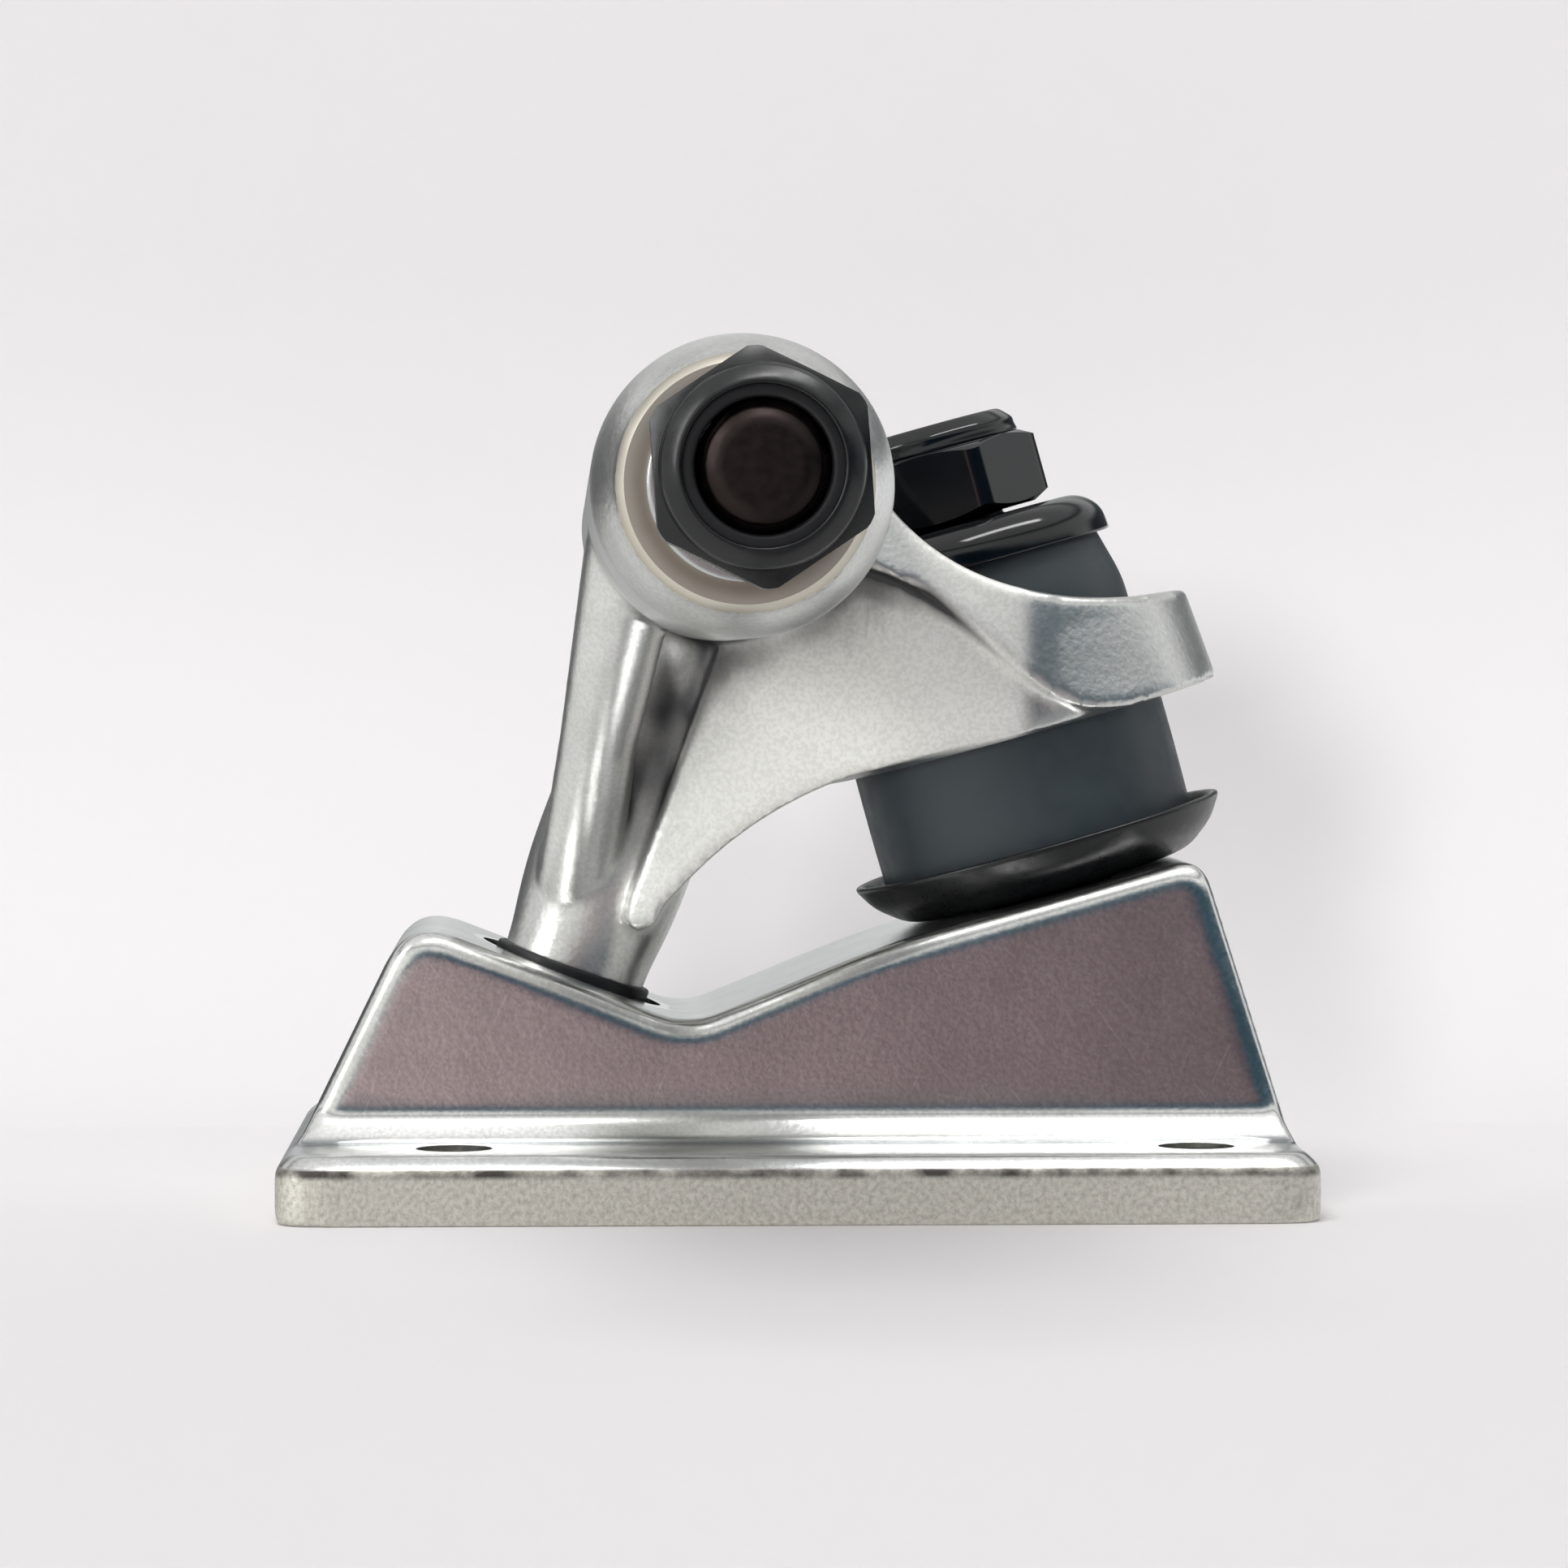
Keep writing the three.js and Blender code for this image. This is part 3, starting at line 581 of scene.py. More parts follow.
def hexed(mesh, across_flats, foot, top, turn):
    """Pushes a turned blank's widest rings out to a hexagon whose ends are chamfered."""
    apothem = across_flats / 2
    widest = apothem / math.cos(math.pi / 6) - 0.22
    face_radius = apothem * 0.95
    for vert in mesh.verts:
        x, y, height = vert.co
        if math.hypot(x, y) < apothem * 1.02:
            continue
        angle = math.atan2(y, x)
        inside = (angle - turn) % (math.tau / 6) - math.pi / 6
        radius = min(apothem / math.cos(inside), widest)
        chamfer = max(radius - face_radius, 0) * HEX_CHAMFER
        lower = height < (foot + top) / 2
        vert.co.x, vert.co.y = radius * math.cos(angle), radius * math.sin(angle)
        vert.co.z = foot + chamfer if lower else top - chamfer
    return mesh


def nut_blank(bore, size, foot):
    """A lock nut's turned blank: hexagon, waist and collar, and the plastic ring's groove."""
    hex_top = foot + size.hex_height
    top = hex_top + size.collar_height
    corner = size.flats / math.sqrt(3)
    face = size.flats / 2 * 0.95
    collar = size.collar_radius
    groove = bore + size.insert_width
    return eased([
        (bore + 0.7, foot), (face, foot), (corner, foot + 0.6), (corner, hex_top - 0.6),
        (face, hex_top, 0.2), (collar + 0.15, hex_top, 0.3), (collar, hex_top + 0.5, 0.4),
        (collar, top - 0.9, 0.3), (collar - 0.9, top, 0.6), (groove - 0.35, top, 0.3),
        (groove - 0.35, top - 0.4, 0.1), (groove, top - 0.5, 0.1), (groove, top - 1.6, 0.1),
        (bore, top - 1.7, 0.1), (bore, foot + 0.7),
    ])


NutSize = namedtuple("NutSize", "flats hex_height collar_height collar_radius insert_width")
KINGPIN_NUT = NutSize(14.3, 5.6, 1.9, 6.8, 1.15)
AXLE_NUT = NutSize(12.7, 4.9, 1.9, 6, 1.1)


def nut_piece(name, size, bore, foot, turn, frame):
    blank = spun(nut_blank(bore, size, foot), None, HEX_COLUMNS)
    hexed(blank, size.flats, foot, foot + size.hex_height, turn)
    rounded(blank, 0.13, least_angle=0.4, segments=2)
    blank.transform(frame)
    nut = placed(blank, name)
    flats = nut.modifiers.new("flat_facets", "WEIGHTED_NORMAL")
    flats.weight = 100
    flats.keep_sharp = True
    return nut


def insert_ring(name, size, bore, foot, frame):
    top = foot + size.hex_height + size.collar_height
    outer = bore + size.insert_width - 0.03
    ring = spun(eased([
        (bore + 0.02, top - 1.65, 0.2), (outer, top - 1.65), (outer, top - 0.55),
        (bore + 0.02, top - 0.45, 0.4),
    ]), frame)
    return placed(ring, name)


def make_kingpin_nut(steel, nylon):
    nut = nut_piece("kingpin_nut_fine", KINGPIN_NUT, KINGPIN_RADIUS + 0.02, NUT_SEAT,
                    math.radians(-11), KINGPIN)
    finished(nut, "kingpin_nut", ["kingpin_nut"], steel, sharp=24)
    ring = insert_ring("kingpin_nut_insert_fine", KINGPIN_NUT, KINGPIN_RADIUS, NUT_SEAT, KINGPIN)
    finished(ring, "kingpin_nut", ["kingpin_nut_insert"], nylon)


# Axle and what sits on it

AXLE_RADIUS = 3.97
AXLE_HALF = 104.8
BARREL_HALF = 72
NUT_FACE = AXLE_HALF - GAP - AXLE_NUT.hex_height - AXLE_NUT.collar_height
WASHER_RADIUS = 6.35
WASHER_THICKNESS = 0.9


def make_axle(materials):
    core = AXLE_RADIUS - 0.5
    threaded_from = NUT_FACE - 5.5
    half = [
        (AXLE_RADIUS, threaded_from, 0.2), (core, threaded_from + 0.5, 0.2),
        (core, AXLE_HALF - 0.6, 0.25), (core - 0.8, AXLE_HALF, 0.4), (0, AXLE_HALF),
    ]
    other = [(radius, -along, *reach) for radius, along, *reach in reversed(half)]
    shells = [spun(eased([*other, *half], closed=False), axle_frame(1))]
    for _, side in SIDES:
        shells.append(thread(core, AXLE_RADIUS, FINE_PITCH, threaded_from, AXLE_HALF - 1.5,
                             axle_frame(side)))
    return finished(placed(shells, "axle_fine"), "hanger", ["axle"], materials)


def washer_ring(name, foot, frame):
    top = foot + WASHER_THICKNESS
    ring = spun(eased([
        (AXLE_RADIUS + 0.15, foot, 0.15), (WASHER_RADIUS, foot, 0.3), (WASHER_RADIUS, top, 0.3),
        (AXLE_RADIUS + 0.15, top, 0.15),
    ]), frame)
    return placed(ring, name)


def make_axle_end(name, side, zinc, steel, nylon):
    frame = axle_frame(side)
    inner = washer_ring(f"{name}_inner_washer_fine", BARREL_HALF + GAP, frame)
    node = f"{name}_inner_speed_washer"
    finished(inner, f"{name}_inner_washer", [node], zinc)
    outer = washer_ring(f"{name}_outer_washer_fine", NUT_FACE - GAP - WASHER_THICKNESS, frame)
    node = f"{name}_outer_speed_washer"
    finished(outer, f"{name}_outer_washer", [node], zinc)
    nut = nut_piece(f"{name}_axle_nut_fine", AXLE_NUT, AXLE_RADIUS + 0.02, NUT_FACE,
                    math.radians(34), frame)
    finished(nut, f"{name}_nut", [f"{name}_axle_nut"], steel, sharp=24)
    ring = insert_ring(f"{name}_nut_insert_fine", AXLE_NUT, AXLE_RADIUS, NUT_FACE, frame)
    finished(ring, f"{name}_nut", [f"{name}_axle_nut_insert"], nylon)


# Hanger

BARREL_RADIUS = 9.9
RING_RADIUS = 16.5
RING_INSET = 1.1
RING_NOSE = RING_RADIUS - 0.6
RING_BORE = 6.5
LOWER_POCKET = 12.3
UPPER_POCKET = 11.8
WASHER_ROOM = (12.7, 2.3)
NUT_ROOM = (10.46, 4.5)
WAIST_RADIUS = 4.6
NECK_RADIUS = 5.5
COLUMN_RADIUS = 6.2
COLUMN_TOP = 44.8
ARM_HALF = 20.5
ARM_LEAN = math.tan(math.radians(13))
RING_LEAN = math.tan(math.radians(4.6))
ARM_FOOT = 30
ARM_MIDDLE = 40
ARM_SPREAD = 0.179
ARM_BEND = 0.005
LEAN_HELD_TO = 11.5
FLARE_END = 19
FLARE_STEPS = 48
DECK_TO_TOP = 61.6
RING_MIDDLE = at_kingpin(0, (RING_FOOT + RING_TOP) / 2)


def barrel():
    end = [
        (BARREL_RADIUS, BARREL_HALF - 6, 1.6), (9.15, BARREL_HALF - 2.6, 1.8),
        (8.2, BARREL_HALF - 0.5, 0.5), (8.2, BARREL_HALF + 1), (0, BARREL_HALF + 1),
    ]
    other = [(radius, -along, *reach) for radius, along, *reach in reversed(end)]
    return spun(eased([*other, *end], closed=False), axle_frame(1))


def pivot_pin():
    """The pin that turns in the cup: its ball end, its waist and the column over it."""
    outline = []
    sweep = math.pi / 2 + math.acos(WAIST_RADIUS / BALL_RADIUS)
    for step in range(13):
        turn = step / 12 * sweep - math.pi / 2
        across = BALL_RADIUS * math.cos(turn) if step else 0
        outline.append((across, BALL_RADIUS * math.sin(turn)))
    outline += eased([
        (NECK_RADIUS, BALL_DEPTH), (NECK_RADIUS, BALL_DEPTH + 1.2, 1),
        (COLUMN_RADIUS, BALL_DEPTH + 7, 3), (COLUMN_RADIUS - 0.6, COLUMN_TOP), (0, COLUMN_TOP),
    ], closed=False)
    return spun(outline, PIVOT)


def strut(side):
    """A strut from the neck to the barrel: the skins round three balls on its line."""
    low_x, low_z = at_pivot(-1.5, 13)
    high_x, high_z = at_axle(-6.2, -2.5)
    low = Vector((low_x, side * 1.9, low_z))
    high = Vector((high_x, side * 20, high_z))
    middle = low.lerp(high, 0.45) + Vector((-0.35, 0, 0.1))
    lower = hull(ball_points(low, 3.3) + ball_points(middle, 2.9))
    upper = hull(ball_points(middle, 2.9) + ball_points(high, 3.7))
    return [lower, upper]


PANEL_FOOT = (-12.9, 20.2)
PANEL_HEAD = (-5.2, 42)
WEB_SHOULDER = ((2, 12.1), *curve((2, 12.1), [(7, 14.9), (10, 15.35)], (16, 15.42), 9))


def web_plan(rear_x, rear_half):
    """The web's outline seen from above, from its rear edge round the ring, as a tall block."""
    points = []
    core = RING_RADIUS - RING_INSET
    for height in (0, DECK_TO_TOP):
        for side in (-1, 1):
            points.append((rear_x, side * rear_half, height))
            for x, half in WEB_SHOULDER:
                points.append((x, side * half, height))
        for step in range(64):
            turn = step / 64 * math.tau
            points.append((RING_MIDDLE[0] + core * math.cos(turn), core * math.sin(turn), height))
    return hull(points)


def web():
    """The web between the pivot, the ring and the barrel, and its proud panel on each side."""
    neck = at_pivot(NECK_RADIUS - 2, BALL_DEPTH + 2.5)
    arch_end = at_kingpin(-12.9, RING_FOOT + 0.5)
    panel = [neck, *curve(neck, [at_pivot(6.1, 22)], arch_end)]
    panel += [at_kingpin(4.5, RING_FOOT + 0.4), at_kingpin(0, RING_TOP - 0.9)]
    panel += [at_axle(8.7, 0), at_axle(0, 0)]
    thin = [*panel, at_pivot(0, BALL_DEPTH + 1.7 + NECK_RADIUS)]
    core = common(slab(thin, RING_RADIUS), web_plan(-13, 3.4))
    proud = [point for point in panel if point[1] > PANEL_FOOT[1] + 1.4]
    proud = eased([*proud, (*PANEL_HEAD, 1), (*PANEL_FOOT, 2.4), (-10.3, PANEL_FOOT[1] - 0.3, 2)])
    return [core, common(slab(proud, RING_RADIUS), web_plan(-16, 5.2))]


UNDER_ROOT = at_axle(8.7, -4.2)


def band_underside(steps=16):
    """The band's lower edge in the side view, from the barrel to the ring's foot."""
    pulls = [at_axle(16.7, -4.7), at_axle(20.7, -12.9), at_kingpin(3, RING_FOOT + 0.3)]
    return curve(UNDER_ROOT, pulls, at_kingpin(8, RING_FOOT), steps)


def band_outline():
    foot = at_kingpin(RING_RADIUS, RING_FOOT)
    end = at_kingpin(RING_RADIUS, RING_TOP)
    nose = at_kingpin(15.6, RING_TOP)
    upper = curve(nose, [at_axle(22.2, -8.5), at_axle(14.2, -4.2)], at_axle(10.7, 2.8))
    return [at_axle(0, 0), UNDER_ROOT, *band_underside(), foot, end, nose, *upper]


def flare():
    """The arms' spread from the ring to the barrel. Its sides lean in towards the top, and turn
    to the ring's own taper as they run into it."""
    mesh = bmesh.new()
    sections = []
    for step in range(FLARE_STEPS + 1):
        x = AXLE_CENTRE.x + (FLARE_END - AXLE_CENTRE.x) * step / FLARE_STEPS
        late = max(0, x - LEAN_HELD_TO)
        half = ARM_HALF - ARM_SPREAD * (x - AXLE_CENTRE.x) - ARM_BEND * late * late
        share = late / (FLARE_END - LEAN_HELD_TO)
        lean = ARM_LEAN + (RING_LEAN - ARM_LEAN) * share * share * (3 - 2 * share)
        low = half + (ARM_MIDDLE - ARM_FOOT) * lean
        high = half + (ARM_MIDDLE - DECK_TO_TOP) * lean
        corners = [(low, ARM_FOOT), (high, DECK_TO_TOP), (-high, DECK_TO_TOP), (-low, ARM_FOOT)]
        sections.append([mesh.verts.new((x, y, z)) for y, z in corners])
    for first, second in zip(sections, sections[1:]):
        for at in range(4):
            mesh.faces.new((first[at], first[at - 1], second[at - 1], second[at]))
    mesh.faces.new(sections[0])
    mesh.faces.new(sections[-1])
    bmesh.ops.recalc_face_normals(mesh, faces=mesh.faces)
    return mesh


def arms():
    """The two arms and the ring's band: the flare and the ring's cone, cut to the side view."""
    tall_ring = spun([
        (0, RING_FOOT), (RING_RADIUS, RING_FOOT), (RING_NOSE, RING_TOP),
        (RING_NOSE, DECK_TO_TOP), (0, DECK_TO_TOP),
    ], KINGPIN)
    shape = combined(placed(flare(), "flare"), [tall_ring], "UNION")
    return lifted(combined(shape, [slab(band_outline(), ARM_HALF + OVERRUN)], "INTERSECT"))


def sway_room(radius, sway, start, end):
    """The room of something round that sways as far to each side along Y."""
    outline = []
    for side in (1, -1):
        for step in range(33):
            turn = step / 32 * math.pi
            x = radius * math.cos(turn) * side
            y = (radius * math.sin(turn) + sway) * side
            outline.append((x, y))
    return plate_block(outline, start, end, KINGPIN)


def machined_cuts():
    """What is bored, faced and milled after casting: ring, nut room, axle hole and end faces."""
    cuts = [
        bar(RING_BORE, RING_FOOT - OVERRUN, RING_TOP + OVERRUN, KINGPIN),
        bar(LOWER_POCKET, RING_FOOT - OVERRUN, RING_FOOT + RING_POCKET, KINGPIN),
        bar(UPPER_POCKET, RING_TOP - RING_POCKET, RING_TOP + OVERRUN, KINGPIN),
        sway_room(*WASHER_ROOM, RING_TOP, WASHER_TOP + 2.6),
        sway_room(*NUT_ROOM, RING_TOP, WASHER_TOP + 20),
    ]
    for _, side in SIDES:
        cuts.append(spun([
            (AXLE_RADIUS - 1, BARREL_HALF - 8), (AXLE_RADIUS + 0.04, BARREL_HALF - 8),
            (AXLE_RADIUS + 0.04, BARREL_HALF - 0.5), (AXLE_RADIUS + 0.5, BARREL_HALF),
            (7.75, BARREL_HALF), (8.3, BARREL_HALF - 0.55), (14, BARREL_HALF - 0.55),
            (14, BARREL_HALF + 6), (AXLE_RADIUS - 1, BARREL_HALF + 6),
        ], axle_frame(side)))
    return cuts


PANEL_SIDE = ((-16, 3.1), (-13, 4.6), *WEB_SHOULDER)
PANEL_END = 17
PANEL_TOP = 50


def panel_half(x):
    """How far the web's panel stands out at that place along X."""
    for (x0, half0), (x1, half1) in zip(PANEL_SIDE, PANEL_SIDE[1:]):
        if x <= x1:
            return half0 + (half1 - half0) * (x - x0) / (x1 - x0)
    return half1


def on_panel(point):
    """1 on the web's flat panels, which are left satin, fading to 0 off them."""
    if not PANEL_FOOT[0] < point.x < PANEL_END or point.z > PANEL_TOP:
        return 0.0
    return max(0.0, min(1.0, 2.4 - 1.6 * abs(abs(point.y) - panel_half(point.x))))


GROOVE = [Vector(point) for point in band_underside(48)]
GROOVE_END = 18


def groove_shadow(point):
    """1 in the groove between a panel and the arm over it, fading to 0 off it. It marks where
    shadow is painted into the groove.
    """
    if point.x > GROOVE_END or abs(point.y) > panel_half(point.x) + 1.4:
        return 0.0
    here = Vector((point.x, point.z))
    off = min((here - mark).length for mark in GROOVE)
    depth = min(1.0, (GROOVE_END - point.x) / 9)
    return depth * max(0.0, min(0.9, 1.3 - off / 0.65))


def is_turned(point):
    off_axis = math.hypot(point.x - AXLE_CENTRE.x, point.z - AXLE_CENTRE.z)
    return abs(point.y) > BARREL_HALF - 0.6 and off_axis < 8.35


def make_hanger(materials):
    blocks = [pivot_pin(), *strut(-1), *strut(1), *web(), arms()]
    blocks.append(spun(eased([
        (0, RING_FOOT), (RING_RADIUS - RING_INSET, RING_FOOT, 0.8),
        (RING_RADIUS - RING_INSET, RING_TOP, 0.8), (0, RING_TOP),
    ], closed=False), KINGPIN))
    casting = combined(placed(barrel(), "hanger_casting"), blocks, "UNION")
    cast_skin(casting, 0.34, 12, 0.5)
    combined(casting, machined_cuts(), "DIFFERENCE")
    with_relief(casting, 50, 0.6)
    # Painted shade: hollows, and the groove under each arm, are marked so that the finish darkens
    # them as if shadowed.
    with_painted_shade_mask(casting, 9, groove_shadow)
    satin = [on_panel(vert.co) for vert in casting.data.vertices]
    mark_points(casting, "satin", evened(casting, satin, 5))
    marked(casting, 1, is_turned)
    return finished(casting, "hanger", ["hanger"], materials)


# Finishes

# Sockets go by name, or by place where that is shorter. Map Range takes its value at 0, its range
# at 1 and 2 and what that becomes at 3 and 4. Mix takes its share at 0 and its colours at 6 and 7.

MIXED = {"give": 2, "data_type": "RGBA"}
SMOOTH = {"interpolation_type": "SMOOTHSTEP"}


def linear(colour):
    """The linear colour of an sRGB hex value."""
    channels = [int(colour[at:at + 2], 16) / 255 for at in (1, 3, 5)]
    return (*[c / 12.92 if c <= 0.04045 else ((c + 0.055) / 1.055) ** 2.4 for c in channels], 1)


def join(tree, node, sockets):
    """Links each of the node's sockets to its source, or sets its value or its hex colour."""
    for name, source in sockets.items():
        if isinstance(source, bpy.types.NodeSocket):
            tree.links.new(source, node.inputs[name])
        else:
            value = linear(source) if isinstance(source, str) else source
            node.inputs[name].default_value = value


def add(tree, kind, sockets=None, give=0, **settings):
    """Adds a node with its settings, values and links, and gives one of its outputs."""
    node = tree.nodes.new("ShaderNode" + kind)
    for name, value in settings.items():
        setattr(node, name, value)
    join(tree, node, sockets or {})
    return node.outputs[give]


def finish_named(name):
    """A new material, its nodes, its shader and its Object coordinates."""
    material = bpy.data.materials.new(name)
    material.use_nodes = True
    tree = material.node_tree
    return material, tree, tree.nodes["Principled BSDF"], add(tree, "TexCoord", give="Object")


def per_mm(size):
    """The scale, in metres, of a pattern whose marks are so many millimetres apart."""
    return 1 / (size * MM)


def scratches(tree, place, turn):
    """Hair scratches about 0.15 mm wide and some 6 mm long, at a turn round Y in degrees."""
    along = add(tree, "Mapping", {
        "Vector": place, "Rotation": (0, math.radians(turn), 0), "Scale": (1, 1, 30),
    }, vector_type="TEXTURE")
    streaks = add(tree, "TexNoise", {"Vector": along, "Scale": per_mm(0.3), "Detail": 1})
    return add(tree, "MapRange", {0: streaks, 1: 0.7, 2: 0.75})


def cast_aluminium(name, gloss, grain_depth, ripple_depth, raw_below=None):
    """A356 aluminium, cast, tumbled and buffed: near-white metal with a soft rippled gloss, hair
    scratches and a fine grain left from the mould. Its edges are worn bright and its flat panels
    satin; its hollows are rough and dull, and their colour is darkened as painted shade. Below the
    given height it is left as it was cast, pale grey and rough, with a broken dark line painted
    just under its top edge as shade. Just above that height the flat top has a mid grey painted on
    it as a reflection. The real grain, of about 0.2 mm, is drawn coarser so that it shows."""
    material, tree, shader, place = finish_named(name)
    relief, occlusion_shade, satin = (
        add(tree, "Attribute", give="Fac", attribute_name=mark)
        for mark in ("relief", "occlusion_shade", "satin")
    )
    ripple, grain, speckle, blotch = (
        add(tree, "TexNoise", {"Vector": place, "Scale": per_mm(size), "Detail": detail})
        for size, detail in ((6, 1), (0.5, 3), (0.32, 3), (2.5, 3))
    )
    marks = add(tree, "Math", {0: scratches(tree, place, 24), 1: scratches(tree, place, -38)},
                operation="MAXIMUM")
    # Painted shade: where the piece shuts off its own outlook, the colour is mixed towards a dark
    # grey as if shadowed, and the roughness rises.
    dull = add(tree, "MapRange", {0: occlusion_shade, 1: 0.24, 2: 0.6})
    sheen = add(tree, "MapRange", {0: ripple, 1: 0.3, 2: 0.7})
    metal = add(tree, "Mix", {0: sheen, 6: "#dcdcda", 7: "#eaeae8"}, **MIXED)
    for share, tint in (
        (add(tree, "MapRange", {0: blotch, 1: 0.56, 2: 0.75, 4: 0.18}), "#b6b5b3"),
        (satin, "#f4f4ef"),
        (add(tree, "MapRange", {0: speckle, 1: 0.42, 2: 0.6, 4: 0.2}), "#aaaaa6"),
        (add(tree, "MapRange", {0: marks, 4: 0.4}), "#fafafa"),
        (dull, "#454446"),
    ):
        metal = add(tree, "Mix", {0: share, 6: metal, 7: tint}, **MIXED)
    rough = add(tree, "MapRange", {0: grain, 1: 0.3, 2: 0.7, 3: gloss, 4: gloss * 1.12})
    duller = add(tree, "MapRange", {0: dull, 4: 0.25})
    rough = add(tree, "Math", {0: rough, 1: duller})
    smoother = add(tree, "MapRange", {0: relief, 1: 0.25, 2: 0.75, 4: -0.06})
    rough = add(tree, "Math", {0: rough, 1: smoother})
    rough = add(tree, "MapRange", {0: satin, 3: rough, 4: 0.5})
    metallic = add(tree, "MapRange", {0: satin, 3: 1, 4: 0.42})
    depth = add(tree, "MapRange", {0: satin, 3: grain_depth, 4: 0.8})
    bump = add(tree, "Bump", {"Height": ripple, "Strength": ripple_depth, "Distance": 0.12 * MM})
    bump = add(tree, "Bump", {
        "Height": grain, "Strength": depth, "Distance": 0.03 * MM, "Normal": bump,
    })
    if raw_below:
        height = add(tree, "SeparateXYZ", {"Vector": place}, give="Z")
        raw, painted_flange_reflection, under_edge_shade = (
            add(tree, "MapRange", {
                0: height, 1: (raw_below + start) * MM, 2: (raw_below + end) * MM,
            }, **SMOOTH)
            for start, end in ((0, -0.25), (1.4, 0.8), (-1, -0.5))
        )
        # Painted reflection: a mid grey on the flange's flat top, just above the raw rim, kept off
        # proud edges.
        painted_flange_reflection = add(tree, "MapRange", {0: relief, 1: 0.02, 2: 0.2, 3: painted_flange_reflection, 4: 0})
        metal = add(tree, "Mix", {0: painted_flange_reflection, 6: metal, 7: "#9fa3a6"}, **MIXED)
        sand = add(tree, "TexNoise", {
            "Vector": place, "Scale": per_mm(0.4), "Detail": 4, "Roughness": 0.6,
        })
        lit = add(tree, "MapRange", {0: sand, 1: 0.28, 2: 0.6})
        skin = add(tree, "Mix", {0: lit, 6: "#b7b3a9", 7: "#dedbd1"}, **MIXED)
        # Painted shade: a broken dark line on the raw rim, just under its top edge.
        patches = add(tree, "TexNoise", {"Vector": place, "Scale": per_mm(4), "Detail": 5})
        broken = add(tree, "MapRange", {0: patches, 1: 0.34, 2: 0.6})
        streak = add(tree, "Math", {0: under_edge_shade, 1: broken}, operation="MULTIPLY")
        skin = add(tree, "Mix", {0: streak, 6: skin, 7: "#4a4642"}, **MIXED)
        metal = add(tree, "Mix", {0: raw, 6: metal, 7: skin}, **MIXED)
        rough = add(tree, "MapRange", {0: raw, 3: rough, 4: 0.42})
        metallic = add(tree, "MapRange", {0: raw, 3: metallic, 4: 0.55})
        depth = add(tree, "MapRange", {0: raw, 4: 0.6})
        bump = add(tree, "Bump", {
            "Height": sand, "Strength": depth, "Distance": 0.1 * MM, "Normal": bump,
        })
    join(tree, shader, {
        "Base Color": metal, "Metallic": metallic, "Roughness": rough, "Normal": bump,
    })
    return material


def turned_aluminium():
    """The same aluminium, faced on a lathe: rings round the axle that catch the light. Real ones
    are a tenth of a millimetre apart. These are 2.2 mm apart, so that they show."""
    material, tree, shader, place = finish_named("turned_aluminium")
    centred = add(tree, "Mapping", {"Vector": place, "Location": -AXLE_CENTRE * MM})
    rings = add(tree, "TexWave", {
        "Vector": centred, "Scale": per_mm(0.35) / 20,
        "Distortion": 0.6, "Detail": 2, "Detail Scale": 3,
    }, give="Fac", wave_type="RINGS", rings_direction="Y")
    join(tree, shader, {
        "Base Color": add(tree, "Mix", {0: rings, 6: "#b3aa9c", 7: "#dbd5c9"}, **MIXED),
        "Metallic": 1,
        "Roughness": 0.38,
        "Normal": add(tree, "Bump", {"Height": rings, "Strength": 0.2, "Distance": 0.03 * MM}),
    })
    return material


def plain_finish(name, dark, light, roughness, grain, metallic=0.0, depth=0.02):
    """A finish with a fine mottle: two near tones, a roughness either side of the one given."""
    material, tree, shader, place = finish_named(name)
    mottle = add(tree, "TexNoise", {"Vector": place, "Scale": per_mm(grain), "Detail": 3})
    spread = {0: mottle, 1: 0.3, 2: 0.7, 3: roughness * 0.85, 4: roughness * 1.2}
    join(tree, shader, {
        "Base Color": add(tree, "Mix", {0: mottle, 6: dark, 7: light}, **MIXED),
        "Metallic": metallic,
        "Roughness": add(tree, "MapRange", spread),
        "Normal": add(tree, "Bump", {"Height": mottle, "Strength": 0.4, "Distance": depth * MM}),
    })
    return material


# Studio

BACKGROUND = "#edebec"
LENS_MM = 131.27
SENSOR_MM = 36
CAMERA_PLACE = Vector((-17.2, -435, 40.7)) * MM
CAMERA_AIM = Vector((0.03918, 1, -0.02243))
LAMP_AIM = Vector((0, 0, 40)) * MM
BACKDROP_START = 60
BACKDROP_SWEEP = 80
BACKDROP_STEPS = 12
STUDIO_REACH = 2600


def sheet_of_paper(name, profile, material):
    """A sheet whose profile, in Y and Z, is drawn from front to back and pulled along X."""
    mesh = bmesh.new()
    verts = [mesh.verts.new((-STUDIO_REACH, y, z)) for y, z in profile]
    edges = [mesh.edges.new(pair) for pair in zip(verts, verts[1:])]
    made = bmesh.ops.extrude_edge_only(mesh, edges=edges)["geom"]
    bmesh.ops.translate(mesh, verts=verts_of(made), vec=(2 * STUDIO_REACH, 0, 0))
    for face in mesh.faces:
        face.normal_update()
        if face.normal.z - face.normal.y < 0:
            face.normal_flip()
    paper = placed(mesh, name)
    paper.data.transform(Matrix.Scale(MM, 4))
    paper.data.shade_smooth()
    paper.data.materials.append(material)
    paper.visible_glossy = False


def make_studio():
    material = studio_paper()
    floor = [(-STUDIO_REACH, 0), (BACKDROP_START, 0)]
    sheet_of_paper("studio_floor", floor, material)
    backdrop = [(BACKDROP_START, 0)]
    for step in range(1, BACKDROP_STEPS + 1):
        turn = step / BACKDROP_STEPS * math.pi / 2
        backdrop.append((
            BACKDROP_START + BACKDROP_SWEEP * math.sin(turn),
            BACKDROP_SWEEP * (1 - math.cos(turn)),
        ))
    backdrop.append((BACKDROP_START + BACKDROP_SWEEP, STUDIO_REACH))
    sheet_of_paper("studio_backdrop", backdrop, material)


